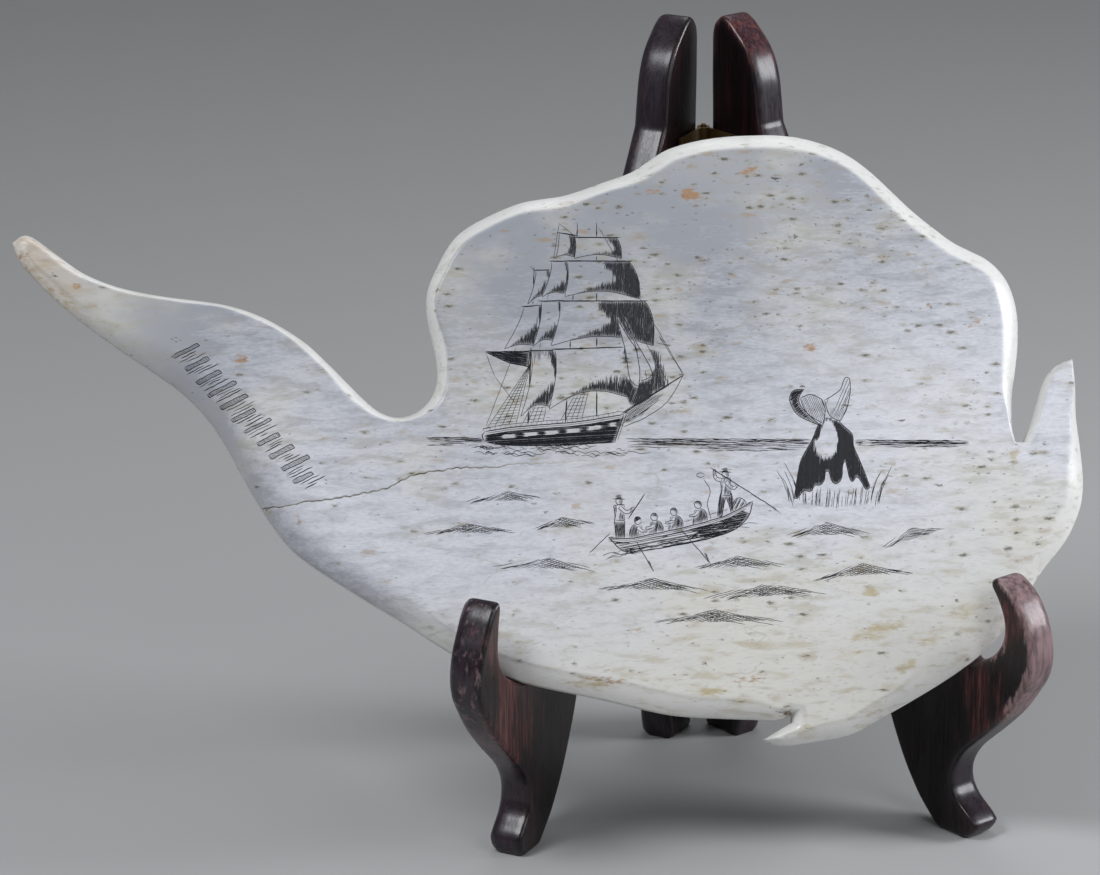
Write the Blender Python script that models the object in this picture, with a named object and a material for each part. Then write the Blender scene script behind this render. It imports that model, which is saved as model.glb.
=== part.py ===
"""Scrimshaw whale bone resting on its folding wooden stand.

All sizes are in metres. The stand is laid out around its hinge: the pin stands on the line
x = 0, the two boards open from there towards -Y, and the table is z = 0. The bone leans back
against the boards' sloping front edges and sits in their crooks. At the end the whole object is
moved so that the middle of its footprint is the origin.
"""
import math

import bmesh
import bpy
import numpy as np
from mathutils import Matrix, Vector
from mathutils.geometry import delaunay_2d_cdt

# Bone
BONE_LENGTH = 0.2687
BONE_THICKNESS = 0.0100
BONE_LEFT_SHARE = 0.671          # share of the length that lies left of the hinge pin
ARM_TIP_THICKNESS = 0.0062
ARM_THINS_FROM = 0.36            # share of the length, from the arm's tip, where thinning ends
FRONT_RIM_WIDTH = 0.0045
FRONT_RIM_DEPTH = 0.0038
FRONT_RIM_POWER = 1.6            # of the superellipse: 1 is a flat chamfer, 2 a true round
BACK_RIM_WIDTH = 0.0034
BACK_RIM_DEPTH = 0.0030
BACK_RIM_POWER = 2.0

# Stand boards
STAND_HEIGHT = 0.1972
STAND_SPREAD = math.radians(66)
BOARD_THICKNESS = 0.0100
BOARD_OUTER_ROUND = 0.0032
BOARD_INNER_ROUND = 0.0012
BOARD_ROUND_POWER = 2.0
HINGE_GAP = 0.0035               # between the boards' rear inner corners
UPRIGHT_DEPTH = 0.0190           # of the upright where the sloping front edge begins
HEAD_HEIGHT = 0.0262             # of the rounded head above that
BACK_POST_DEPTH = 0.0140
BACK_FOOT_LENGTH = 0.0120
SEAT_HEIGHT = 0.0467             # of the crook's corner above the table
SEAT_REACH = 0.0970              # of the crook's corner in front of the hinge
HOOK_RISE = 0.0268               # of the hook's tip above the crook's corner
HOOK_CURL = {"left": 0.0012, "right": 0.0052}     # how far its tip leans back, as carved
TOE_LENGTH = {"left": 0.0005, "right": 0.0035}    # of the front foot past its sole
HOOK_THICKNESS = 0.0100
CROOK_AIR = 0.0022               # between the bone's front and the hook
FLOOR_RISE = 0.0068              # of the crook's floor from its corner to the hook
LEG_SETBACK = 0.0172             # of the front leg's waist behind the hook
LEG_DEPTH = 0.0193               # of the front leg, front to back at its waist
FRONT_SOLE_LENGTH = 0.0090
ARCH_HEIGHT = 0.0720

# Hinge
LEAF_TOP = 0.1670
LEAF_HEIGHT = 0.0250
LEAF_WIDTH = 0.0122
LEAF_THICKNESS = 0.0008
KNUCKLE_DIAMETER = 0.0034
KNUCKLE_COUNT = 5
PIN_DIAMETER = 0.0013
PIN_STANDS_PROUD = 0.0005
PIN_BEHIND_BOARDS = 0.0012

# Fits and fineness
CLEARANCE = 0.0003               # between pieces that touch
TURN_PER_POINT = math.radians(15)
LONGEST_STEP = 0.0090
ROUND_SIDES = 20
SETTLING_STEPS = 12              # of sliding and rolling the bone until it rests

SHARP = True

# Outline of the bone, clockwise from the arm's tip, in thousandths of its own length, measured
# from the tip's left end and from the lowest edge. A sharp point is a corner of the outline.
BONE_OUTLINE = (
    (0, 496, SHARP), (12, 503), (28, 494), (64, 466), (101, 450), (146, 440), (194, 432),
    (230, 419), (271, 392), (311, 350), (336, 326), (357, 320), (378, 329), (391, 349),
    (392, 376), (386, 410), (386, 437), (396, 461), (415, 490), (442, 507), (481, 522),
    (518, 527), (557, 539), (588, 550), (617, 568), (655, 578), (700, 581), (744, 578),
    (786, 563), (815, 541), (850, 505), (891, 471), (920, 455), (938, 434), (946, 403),
    (944, 364), (937, 325), (935, 290), (937, 279, SHARP), (946, 279, SHARP), (957, 303),
    (969, 336), (981, 351), (997, 357, SHARP), (998, 334), (997, 301), (1000, 252),
    (997, 219), (981, 185), (957, 157), (933, 124), (905, 89), (872, 64), (832, 41),
    (797, 23), (766, 8), (735, 3), (699, 0), (683, 6, SHARP), (710, 21, SHARP),
    (711, 29, SHARP), (702, 25), (642, 28), (596, 33), (531, 50), (461, 68), (407, 90),
    (356, 124), (294, 165), (249, 200), (218, 247), (183, 314), (154, 349), (105, 386),
    (57, 424), (18, 464), (4, 484),
)

HALF_SPREAD = STAND_SPREAD / 2


def curve_through(controls):
    """Closed polyline through the control points: a Catmull-Rom curve that keeps the sharp points
    as corners, with more points where it turns."""
    points = [Vector(c[:2]) for c in controls]
    sharp = [len(c) > 2 for c in controls]
    count = len(points)
    line = []
    for i in range(count):
        j = (i + 1) % count
        start, end = points[i], points[j]
        chord = end - start
        before = chord if sharp[i] else end - points[i - 1]
        after = chord if sharp[j] else points[(j + 1) % count] - start
        lead = before.normalized() * chord.length
        trail = after.normalized() * chord.length
        turn = lead.angle(chord) + chord.angle(trail)
        steps = max(1, math.ceil(turn / TURN_PER_POINT), math.ceil(chord.length / LONGEST_STEP))
        for k in range(steps):
            t = k / steps
            line.append((2 * t**3 - 3 * t**2 + 1) * start + (t**3 - 2 * t**2 + t) * lead
                        + (3 * t**2 - 2 * t**3) * end + (t**3 - t**2) * trail)
    line = np.array([tuple(p) for p in line])
    if signed_area(line) < 0:
        line = line[::-1]
    return line


def signed_area(line):
    x, y = line.T
    return 0.5 * np.sum(x * np.roll(y, -1) - y * np.roll(x, -1))


def distance_to(line, points):
    """Distance from each point to the closed polyline."""
    start = line[None, :, :]
    along = np.roll(line, -1, axis=0)[None, :, :] - start
    to_point = points[:, None, :] - start
    share = np.clip(np.sum(to_point * along, 2) / np.sum(along * along, 2), 0, 1)
    return np.min(np.linalg.norm(to_point - share[..., None] * along, axis=2), axis=1)


def rim_drop(distance, width, depth, power):
    """How far a face has fallen at a distance from the outline: a quarter of a superellipse."""
    share = np.clip(1 - distance / width, 0, 1)
    return depth * (1 - (1 - share**power)**(1 / power))


def rings_inside(line, offsets):
    """Points on rings at the given distances inside the outline, thinned where they crowd."""
    tangent = np.roll(line, -1, axis=0) - np.roll(line, 1, axis=0)
    inward = np.stack([-tangent[:, 1], tangent[:, 0]], axis=1)
    inward /= np.linalg.norm(inward, axis=1)[:, None]
    kept = line.copy()
    for offset in offsets:
        ring = line + inward * offset
        ring = ring[distance_to(line, ring) > 0.97 * offset]
        for point in ring:
            if np.min(np.linalg.norm(kept - point, axis=1)) > 0.45 * offset:
                kept = np.vstack([kept, point])
    return kept


def rounded_slab(name, line, offsets, front_height, back_height, mirrored=False):
    """Closed mesh of a flat piece in the XY plane. The heights of its two faces are functions of
    (points, distance to the outline); a straight wall joins them along the outline. A mirrored
    piece has its heights turned to -Z."""
    seeds = rings_inside(line, offsets)
    rim = list(range(len(line)))
    edges = [(i, (i + 1) % len(line)) for i in rim]
    flat, _, faces, origin, _, _ = delaunay_2d_cdt(
        [Vector(p) for p in seeds], edges, [rim], 1, 1e-7)
    flat = np.array([tuple(p) for p in flat])
    place_of = {old: new for new, olds in enumerate(origin) for old in olds}
    distance = distance_to(line, flat)
    distance[[place_of[i] for i in rim]] = 0
    side = -1 if mirrored else 1
    count = len(flat)
    front = np.column_stack([flat, side * front_height(flat, distance)])
    back = np.column_stack([flat, side * back_height(flat, distance)])
    polygons = [tuple(f) for f in faces]
    polygons += [tuple(v + count for v in reversed(f)) for f in faces]
    for i in rim:
        a, b = place_of[i], place_of[(i + 1) % len(line)]
        polygons.append((b, a, a + count, b + count))
    if mirrored:
        polygons = [tuple(reversed(p)) for p in polygons]
    mesh = bpy.data.meshes.new(name)
    mesh.from_pydata(np.vstack([front, back]).tolist(), [], polygons)
    mesh.update()
    return mesh


def bone_line():
    return curve_through([(x / 1000 * BONE_LENGTH - BONE_LEFT_SHARE * BONE_LENGTH,
                           y / 1000 * BONE_LENGTH, *flag) for x, y, *flag in BONE_OUTLINE])


def bone_thinning(x):
    """Share of the full thickness at x: 1 over the body, falling smoothly to the arm's tip."""
    from_tip = x / BONE_LENGTH + BONE_LEFT_SHARE
    t = np.clip(from_tip / ARM_THINS_FROM, 0, 1)
    tip = ARM_TIP_THICKNESS / BONE_THICKNESS
    return tip + (1 - tip) * t * t * (3 - 2 * t)


def bone_front(flat, distance):
    half = BONE_THICKNESS / 2
    drop = rim_drop(distance, FRONT_RIM_WIDTH, FRONT_RIM_DEPTH, FRONT_RIM_POWER)
    return half + (half - drop) * bone_thinning(flat[:, 0])


def bone_back(flat, distance):
    half = BONE_THICKNESS / 2
    drop = rim_drop(distance, BACK_RIM_WIDTH, BACK_RIM_DEPTH, BACK_RIM_POWER)
    return half - (half - drop) * bone_thinning(flat[:, 0])


def lean():
    """Angle of the bone from upright, set by the boards' sloping front edges."""
    forward = (SEAT_REACH - UPRIGHT_DEPTH) * math.cos(HALF_SPREAD)
    return math.atan2(forward, STAND_HEIGHT - HEAD_HEIGHT - SEAT_HEIGHT)


def hook_reach():
    """Distance from the hinge to the hook's rear face, wide enough for the bone's thickness."""
    bone_run = BONE_THICKNESS / math.cos(lean()) / math.cos(HALF_SPREAD)
    return SEAT_REACH + bone_run + CLEARANCE + CROOK_AIR


def board_line(side):
    """Side view of a board: x forward from the hinge, y up. The two were carved by hand, so their
    hooks and toes differ a little."""
    hand = "left" if side < 0 else "right"
    curl = HOOK_CURL[hand]
    toe = TOE_LENGTH[hand]
    hook = hook_reach()
    tip = SEAT_HEIGHT + HOOK_RISE
    floor = SEAT_HEIGHT + FLOOR_RISE
    shoulder = STAND_HEIGHT - HEAD_HEIGHT
    back_foot = [(0, 0, SHARP), (0, shoulder)]
    head = [(0, STAND_HEIGHT - 0.16 * HEAD_HEIGHT),
            (0.11 * UPRIGHT_DEPTH, STAND_HEIGHT - 0.03 * HEAD_HEIGHT),
            (0.25 * UPRIGHT_DEPTH, STAND_HEIGHT),
            (0.50 * UPRIGHT_DEPTH, STAND_HEIGHT - 0.12 * HEAD_HEIGHT),
            (0.74 * UPRIGHT_DEPTH, STAND_HEIGHT - 0.29 * HEAD_HEIGHT),
            (0.90 * UPRIGHT_DEPTH, STAND_HEIGHT - 0.54 * HEAD_HEIGHT),
            (UPRIGHT_DEPTH, shoulder, SHARP)]
    crook_run = hook - SEAT_REACH
    slope = (SEAT_REACH - UPRIGHT_DEPTH) / (shoulder - SEAT_HEIGHT)
    corner = 0.20 * crook_run
    crook = [(SEAT_REACH - slope * corner, SEAT_HEIGHT + corner, SHARP),
             (SEAT_REACH + 0.04 * corner, SEAT_HEIGHT + 0.18 * corner),
             (SEAT_REACH + corner, SEAT_HEIGHT + 0.12 * FLOOR_RISE),
             (SEAT_REACH + 0.48 * crook_run, SEAT_HEIGHT + 0.46 * FLOOR_RISE),
             (SEAT_REACH + 0.80 * crook_run, floor),
             (hook - 0.04 * crook_run, SEAT_HEIGHT + 0.40 * HOOK_RISE)]
    hook_back = [(hook, SEAT_HEIGHT + 0.54 * HOOK_RISE),
                 (hook - 0.18 * curl, SEAT_HEIGHT + 0.68 * HOOK_RISE),
                 (hook - 0.60 * curl, SEAT_HEIGHT + 0.82 * HOOK_RISE),
                 (hook - curl, tip - 0.06 * HOOK_RISE),
                 (hook - 0.75 * curl + 0.10 * HOOK_THICKNESS, tip)]
    hook_front = [(hook - 0.25 * curl + 0.40 * HOOK_THICKNESS, tip - 0.11 * HOOK_RISE),
                  (hook + 0.60 * HOOK_THICKNESS, tip - 0.25 * HOOK_RISE),
                  (hook + 0.88 * HOOK_THICKNESS, tip - 0.45 * HOOK_RISE),
                  (hook + 1.00 * HOOK_THICKNESS, tip - 0.70 * HOOK_RISE),
                  (hook + 0.90 * HOOK_THICKNESS, tip - 0.91 * HOOK_RISE)]
    waist = hook - LEG_SETBACK
    sole_front = hook - 0.78 * LEG_SETBACK
    sole_back = sole_front - FRONT_SOLE_LENGTH
    leg_front = [(hook + 0.60 * HOOK_THICKNESS, 0.945 * SEAT_HEIGHT),
                 (hook + 0.10 * HOOK_THICKNESS, 0.80 * SEAT_HEIGHT),
                 (hook - 0.38 * LEG_SETBACK, 0.64 * SEAT_HEIGHT),
                 (hook - 0.81 * LEG_SETBACK, 0.49 * SEAT_HEIGHT),
                 (waist, 0.37 * SEAT_HEIGHT), (waist, 0.27 * SEAT_HEIGHT),
                 (hook - 0.90 * LEG_SETBACK + 0.3 * toe, 0.20 * SEAT_HEIGHT),
                 (hook - 0.76 * LEG_SETBACK + 0.8 * toe, 0.14 * SEAT_HEIGHT),
                 (hook - 0.69 * LEG_SETBACK + toe, 0.08 * SEAT_HEIGHT),
                 (sole_front + 0.4 * toe, 0, SHARP)]
    leg_back = [(sole_back, 0, SHARP), (sole_back - 0.16 * LEG_DEPTH, 0.06 * SEAT_HEIGHT),
                (sole_back - 0.34 * LEG_DEPTH, 0.13 * SEAT_HEIGHT),
                (waist - 0.90 * LEG_DEPTH, 0.29 * SEAT_HEIGHT),
                (waist - 1.10 * LEG_DEPTH, 0.44 * SEAT_HEIGHT),
                (waist - 1.34 * LEG_DEPTH, 0.66 * SEAT_HEIGHT),
                (waist - 1.60 * LEG_DEPTH, 0.98 * SEAT_HEIGHT)]
    span = hook - BACK_POST_DEPTH
    arch = [(BACK_POST_DEPTH + 0.410 * span, 0.93 * ARCH_HEIGHT),
            (BACK_POST_DEPTH + 0.288 * span, ARCH_HEIGHT),
            (BACK_POST_DEPTH + 0.086 * span, 0.90 * ARCH_HEIGHT),
            (BACK_POST_DEPTH + 0.008 * span, 0.66 * ARCH_HEIGHT),
            (BACK_POST_DEPTH - 0.012 * span, 0.30 * ARCH_HEIGHT),
            (1.10 * BACK_FOOT_LENGTH, 0.07 * ARCH_HEIGHT), (BACK_FOOT_LENGTH, 0, SHARP)]
    return curve_through(
        back_foot + head + crook + hook_back + hook_front + leg_front + leg_back + arch)


def board_outer(flat, distance):
    return BOARD_THICKNESS - rim_drop(distance, BOARD_OUTER_ROUND, BOARD_OUTER_ROUND,
                                      BOARD_ROUND_POWER)


def board_inner(flat, distance):
    return rim_drop(distance, BOARD_INNER_ROUND, BOARD_INNER_ROUND, BOARD_ROUND_POWER)


def board_matrix(side):
    """Place of a board: its x runs forward, its y up; side is -1 for the left, +1 for the right."""
    along = Vector((side * math.sin(HALF_SPREAD), -math.cos(HALF_SPREAD), 0))
    up = Vector((0, 0, 1))
    place = Matrix((along, up, along.cross(up))).transposed().to_4x4()
    place.translation = (side * HINGE_GAP / 2, 0, 0)
    return place


def bone_matrix(shift, roll):
    """Place of the bone: its back lies on the boards' sloping edges, slid up by shift, rolled."""
    angle = lean()
    rounding_lost = BOARD_INNER_ROUND * (math.cos(HALF_SPREAD) + math.sin(HALF_SPREAD) - 1)
    start = Vector((0, -SEAT_REACH * math.cos(HALF_SPREAD), SEAT_HEIGHT))
    outward = Vector((0, -math.cos(angle), math.sin(angle)))
    start += outward * (CLEARANCE - rounding_lost * math.cos(angle))
    return (Matrix.Translation(start) @ Matrix.Rotation(math.pi / 2 - angle, 4, "X")
            @ Matrix.Translation((0, shift, 0)) @ Matrix.Rotation(roll, 4, "Z"))


def lower_edge(line, x):
    """Height of the outline's lowest crossing at each x."""
    start = line[None]
    end = np.roll(line, -1, axis=0)[None]
    x = x[:, None]
    crosses = (start[..., 0] - x) * (end[..., 0] - x) <= 0
    run = np.where(crosses, end[..., 0] - start[..., 0], 1)
    y = start[..., 1] + (x - start[..., 0]) / np.where(run == 0, 1, run) * (
        end[..., 1] - start[..., 1])
    return np.min(np.where(crosses, y, np.inf), axis=1)


def rim_inset(height):
    """How far inside the outline the bone's edge lies at a height above its back face."""
    back = rim_drop(height, BACK_RIM_DEPTH, BACK_RIM_WIDTH, BACK_RIM_POWER)
    front = rim_drop(BONE_THICKNESS - height, FRONT_RIM_DEPTH, FRONT_RIM_WIDTH, FRONT_RIM_POWER)
    return np.maximum(back, front)


def gap_under_bone(line, place, crook):
    """Smallest gap between the bone's lower rim and the points of one crook."""
    local = crook @ np.array(place.inverted())[:3].T
    inside = (local[:, 2] > 0) & (local[:, 2] < BONE_THICKNESS)
    local = local[inside]
    return np.min(lower_edge(line, local[:, 0]) + rim_inset(local[:, 2]) - local[:, 1])


def crook_points(board):
    """World points of a board's crook, between its corner and the hook, as rows (x, y, z, 1)."""
    points = np.array([tuple(board.matrix_world @ v.co) + (1,) for v in board.data.vertices])
    forward = np.hypot(points[:, 0], points[:, 1])
    return points[(forward > SEAT_REACH - HOOK_THICKNESS) & (points[:, 2] > 0.9 * SEAT_HEIGHT)
                  & (points[:, 2] < SEAT_HEIGHT + HOOK_RISE) & (forward < hook_reach())]


def resting_place(line, boards):
    """Slide the bone down and roll it until it is one clearance above both crooks."""
    left, right = [crook_points(board) for board in boards]
    span = 2 * SEAT_REACH * math.sin(HALF_SPREAD)
    shift = 0.0
    roll = 0.0
    for _ in range(SETTLING_STEPS):
        place = bone_matrix(shift, roll)
        gap_left = gap_under_bone(line, place, left)
        gap_right = gap_under_bone(line, place, right)
        shift -= (gap_left + gap_right) / 2 - CLEARANCE
        roll += (gap_left - gap_right) / span
    return bone_matrix(shift, roll)


def material(name, colour, roughness, metallic=0.0):
    made = bpy.data.materials.new(name)
    made.use_nodes = True
    shader = made.node_tree.nodes["Principled BSDF"]
    shader.inputs["Base Color"].default_value = (*colour, 1)
    shader.inputs["Roughness"].default_value = roughness
    shader.inputs["Metallic"].default_value = metallic
    return made


def add_object(name, mesh, collection, finish, place=None):
    made = bpy.data.objects.new(name, mesh)
    made.matrix_world = place or Matrix()
    if finish:
        mesh.materials.append(finish)
    collection.objects.link(made)
    return made


def add_board(name, side, collection, finish):
    line = board_line(side)
    offsets = [0.4 * BOARD_INNER_ROUND, BOARD_INNER_ROUND, 0.6 * BOARD_OUTER_ROUND,
               BOARD_OUTER_ROUND]
    mesh = rounded_slab(name, line, offsets, board_outer, board_inner, mirrored=side > 0)
    return add_object(name, mesh, collection, finish, board_matrix(side))


def add_bone(boards, collection, finish):
    line = bone_line()
    offsets = [0.10 * FRONT_RIM_WIDTH, 0.38 * FRONT_RIM_WIDTH, BACK_RIM_WIDTH, FRONT_RIM_WIDTH]
    mesh = rounded_slab("whale_bone", line, offsets, bone_front, bone_back)
    return add_object("whale_bone", mesh, collection, finish, resting_place(line, boards))


def box_mesh(name, low, high):
    shape = bmesh.new()
    bmesh.ops.create_cube(shape, size=1)
    low = Vector(low)
    high = Vector(high)
    for vertex in shape.verts:
        vertex.co = (low + high) / 2 + Vector(a * b for a, b in zip(vertex.co, high - low))
    mesh = bpy.data.meshes.new(name)
    shape.to_mesh(mesh)
    shape.free()
    return mesh


def rod_mesh(name, diameter, bottom, top):
    """Upright round rod on the pin's axis."""
    shape = bmesh.new()
    bmesh.ops.create_cone(shape, cap_ends=True, segments=ROUND_SIDES, radius1=diameter / 2,
                          radius2=diameter / 2, depth=top - bottom,
                          matrix=Matrix.Translation((0, PIN_BEHIND_BOARDS, (top + bottom) / 2)))
    mesh = bpy.data.meshes.new(name)
    shape.to_mesh(mesh)
    shape.free()
    return mesh


def combine(target, helper, operation, helpers):
    """Unite or cut the target with a helper shape, which stays hidden in its own collection."""
    helpers.objects.link(helper)
    helper.hide_render = True
    helper.display_type = "WIRE"
    step = target.modifiers.new(operation.lower(), "BOOLEAN")
    step.operation = operation
    step.solver = "EXACT"
    step.object = helper


def add_leaf(name, side, collection, helpers, finish):
    """A hinge leaf: a plate on the board's inner face, with every second knuckle round the pin."""
    plate_inner = CLEARANCE + LEAF_THICKNESS
    bottom = LEAF_TOP - LEAF_HEIGHT
    barrel = KNUCKLE_DIAMETER
    place = board_matrix(side)
    facing = 1 if side > 0 else -1          # the boards' own z points outward on the left
    rear = CLEARANCE * 1.5
    deep = (facing * plate_inner, facing * CLEARANCE)
    plate = add_object(name, box_mesh(name, (rear, bottom, min(deep)),
                                      (LEAF_WIDTH, LEAF_TOP, max(deep))),
                       collection, finish, place)
    pitch = LEAF_HEIGHT / KNUCKLE_COUNT
    first = 0 if side < 0 else 1
    for k in range(first, KNUCKLE_COUNT, 2):
        low = bottom + k * pitch + CLEARANCE / 2
        high = low + pitch - CLEARANCE
        tab = bpy.data.objects.new(f"{name}_tab_{k}", box_mesh(
            f"{name}_tab_{k}", (-PIN_BEHIND_BOARDS / 2, low, min(deep)),
            (2 * rear, high, max(deep))))
        tab.matrix_world = place
        combine(plate, tab, "UNION", helpers)
        knuckle = bpy.data.objects.new(f"{name}_knuckle_{k}", rod_mesh(
            f"{name}_knuckle_{k}", barrel, low, high))
        combine(plate, knuckle, "UNION", helpers)
    bore = bpy.data.objects.new(f"{name}_bore", rod_mesh(
        f"{name}_bore", PIN_DIAMETER + 2 * CLEARANCE, bottom - pitch, LEAF_TOP + pitch))
    combine(plate, bore, "DIFFERENCE", helpers)
    return plate


def stand_on_origin(objects):
    """Hang the objects on an empty moved so that the middle of their footprint is the origin."""
    bpy.context.view_layer.update()
    depsgraph = bpy.context.evaluated_depsgraph_get()
    corners = []
    for made in objects:
        mesh = made.evaluated_get(depsgraph).to_mesh()
        corners += [tuple(made.matrix_world @ v.co) for v in mesh.vertices]
    corners = np.array(corners)
    low, high = corners.min(axis=0), corners.max(axis=0)
    root = bpy.data.objects.new("origin", None)
    bpy.context.scene.collection.objects.link(root)
    for made in bpy.data.objects:
        if made is not root:
            made.parent = root
    root.location = (-(low[0] + high[0]) / 2, -(low[1] + high[1]) / 2, -low[2])


def main():
    for old in list(bpy.data.objects):
        bpy.data.objects.remove(old)
    parts = bpy.data.collections.new("scrimshaw_whale_bone")
    helpers = bpy.data.collections.new("cutters")
    for collection in (parts, helpers):
        bpy.context.scene.collection.children.link(collection)
    bone = material("polished_bone", (0.62, 0.61, 0.59), 0.38)
    wood = material("dark_rosewood", (0.040, 0.012, 0.009), 0.30)
    brass = material("aged_brass", (0.33, 0.22, 0.10), 0.42, 1.0)

    boards = [add_board("stand_left", -1, parts, wood), add_board("stand_right", 1, parts, wood)]
    bpy.context.view_layer.update()
    pieces = boards + [add_bone(boards, parts, bone)]
    pieces.append(add_leaf("hinge_leaf_left", -1, parts, helpers, brass))
    pieces.append(add_leaf("hinge_leaf_right", 1, parts, helpers, brass))
    pin = rod_mesh("hinge_pin", PIN_DIAMETER, LEAF_TOP - LEAF_HEIGHT - PIN_STANDS_PROUD,
                   LEAF_TOP + PIN_STANDS_PROUD)
    pieces.append(add_object("hinge_pin", pin, parts, brass))
    stand_on_origin(pieces)


main()
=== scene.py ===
"""Scrimshaw whale bone on a small folding stand.

The bone is a slab of polished whale bone with an inked engraving of a whale hunt. It leans in the
crooks of two boards of dark rosewood, which a brass hinge joins at the back. Lengths are in metres,
except in the engraving, which is drawn in millimetres on the bone's face.
"""
import math

import bpy
import numpy as np
from bpy.props import FloatProperty, FloatVectorProperty, PointerProperty
from bpy.types import Operator, Panel, PropertyGroup
from mathutils import Matrix, Vector
from mathutils.geometry import delaunay_2d_cdt


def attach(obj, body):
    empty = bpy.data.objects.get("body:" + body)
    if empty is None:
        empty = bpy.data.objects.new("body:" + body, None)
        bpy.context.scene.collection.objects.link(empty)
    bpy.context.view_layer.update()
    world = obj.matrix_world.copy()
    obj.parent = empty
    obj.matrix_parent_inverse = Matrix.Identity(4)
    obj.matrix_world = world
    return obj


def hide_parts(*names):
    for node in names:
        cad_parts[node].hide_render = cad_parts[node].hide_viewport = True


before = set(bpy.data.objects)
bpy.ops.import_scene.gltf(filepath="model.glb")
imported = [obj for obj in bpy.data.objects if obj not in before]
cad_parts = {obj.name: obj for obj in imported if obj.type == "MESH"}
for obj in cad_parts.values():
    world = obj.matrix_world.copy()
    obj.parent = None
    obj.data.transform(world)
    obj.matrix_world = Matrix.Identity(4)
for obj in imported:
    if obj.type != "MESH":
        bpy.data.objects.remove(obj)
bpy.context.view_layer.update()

bl_info = {
    "name": "Scrimshaw Whale Bone",
    "version": (1, 0, 0),
    "blender": (4, 5, 0),
    "location": "3D View > Sidebar > Scrimshaw",
    "description": "Makes an engraved whale bone that leans in a folding stand of dark wood",
    "category": "Add Mesh",
}

MM = 0.001
CORNER_TURN = math.radians(20)      # a turn sharper than this stays a corner
FACE_CELL = 0.0016                  # spacing of the points inside a slab's face
RIM_STEP = 0.0011                   # spacing of the points along an outline
RING_KEPT = 0.97                    # share of its own distance that a ring's point keeps from the outline
GRID_CLEAR = 0.4                    # cells between the innermost ring and the even grid
EXTRA_CLEAR = 0.5                   # cells between the extra points and the even grid
CROWDED_CELL = 0.14                 # of a cell: where one point of the rings is enough
SAME_PLACE = 1e-5                   # corners of CAD triangles closer than this are one point
WALL_TILT = 0.02                    # how far the normal of an edge wall may lean toward a face
WALL_BANDS = 4                      # rows of quads in the wall between two faces
AT_ONCE = 1500                      # points compared with a line at one time
SINES = 6                           # sine waves in a hand-worked surface
SINES_ENLARGED = 1.6                # how many times their mean is enlarged
# Rings of points inside an outline: on the bone in shares of its bevel's width, on a board in mm
BEVEL_SHARES = (0.03, 0.12, 0.25, 0.40, 0.56, 0.70, 0.82, 0.91, 0.97, 1.02, 1.08, 1.16, 1.30, 1.50, 1.75)
ROUND_OFFSETS = (0.1, 0.3, 0.6, 0.9, 1.2, 1.6, 2.1, 2.6, 3.0, 3.3, 4.2)

BONE_ROLL = math.radians(-0.339)    # how far the bone has settled round in the crooks
ARM_THINS_FROM = 0.36               # share of the bone's length, from the arm's tip
ARM_TIP_SHARE = 0.62                # of the full thickness, at the tip
ARM_COLUMNS = 80                    # columns of 1 mm, from the tip, in which the arm is measured
ARM_ROWS = np.arange(40, 135, 0.5)  # heights of the places where it is measured, in mm
ARM_SMOOTHING = 3                   # columns to each side that a column's measure is averaged with
BEVEL_STRAIGHT = 0.66               # share of the front bevel's fall that is even, the rest a cube's
BACK_RIM_WIDTH = 0.0034
BACK_RIM_DEPTH = 0.0030
CRACK_SWAY = 0.30                   # how far the crack wavers, in mm
CRACK_ROWS = (0.0, -0.13, 0.13, -0.35, 0.35, -0.8, 0.8)     # rows of points along it, in mm

# On a board's face, in metres forward of its back edge and up from its lowest one
CROOK = (0.103, 0.044)
CROOK_REACH = 0.013
HOOK_TIP = (0.113, 0.064)
HOOK_TIP_REACH = 0.007
# How worn each board is: its top, the wear on its hook's front, and its crook on the inner face. On the right
# board, the red of its top is partly painted highlight. The pinkish grey of its hook is partly painted sheen
BOARD_WEAR_AND_PAINTED_LIGHT = {"left": (0.2, 0.26, 0.90), "right": (0.7, 0.92, 0.50)}
OUTER_WEAR = 0.60                   # of both crooks, on the outer face

STROKE_STEP = 0.5                   # spacing of the points along a stroke, in mm
STEADY, SLIGHT, LOOSE = 0.02, 0.03, 0.05     # how far the hand shakes across a stroke, in mm
HATCH_STEP = 0.35                   # spacing of the places where hatching asks for its tone, in mm
RING_POINTS = 12                    # of a small drawn ring
STROKE_TAPER = 1.0                  # length over which a stroke's end narrows, in mm
STROKE_END_SHARE = 0.2              # of its width, at the very end
STROKE_SUNK_SHARE = 0.3             # of its height: how deep its edges lie under the face

CAMERA_PLACE = (-0.13695, -1.22752, 0.52560)
CAMERA_TARGET = (-0.00097, -0.00592, 0.10239)
CAMERA_LENS = 168.5                 # in mm, as the width of the sensor
SENSOR_WIDTH = 36.0
LIGHT_PLACES = {"key": (0.95, -0.10, 0.45), "fill": (-0.55, -0.35, 0.90), "near": (0.32, -0.40, 0.42),
                "back": (0.15, 0.45, 0.90)}
LIGHT_TARGET = (0.03, 0, 0.09)
LIGHT_SIZE = 0.40
LIGHT_COLOUR = (0.950, 0.970, 1.0)
ROOM_COLOUR = (0.80, 0.82, 0.85, 1)
FLOOR_CELLS = 4                     # along each of the floor's sides
# A Mix node has several sockets of one name, so its colour sockets are known by their places
MIX_SHARE, MIX_FIRST, MIX_SECOND, MIX_RESULT = 0, 6, 7, 2

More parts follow.
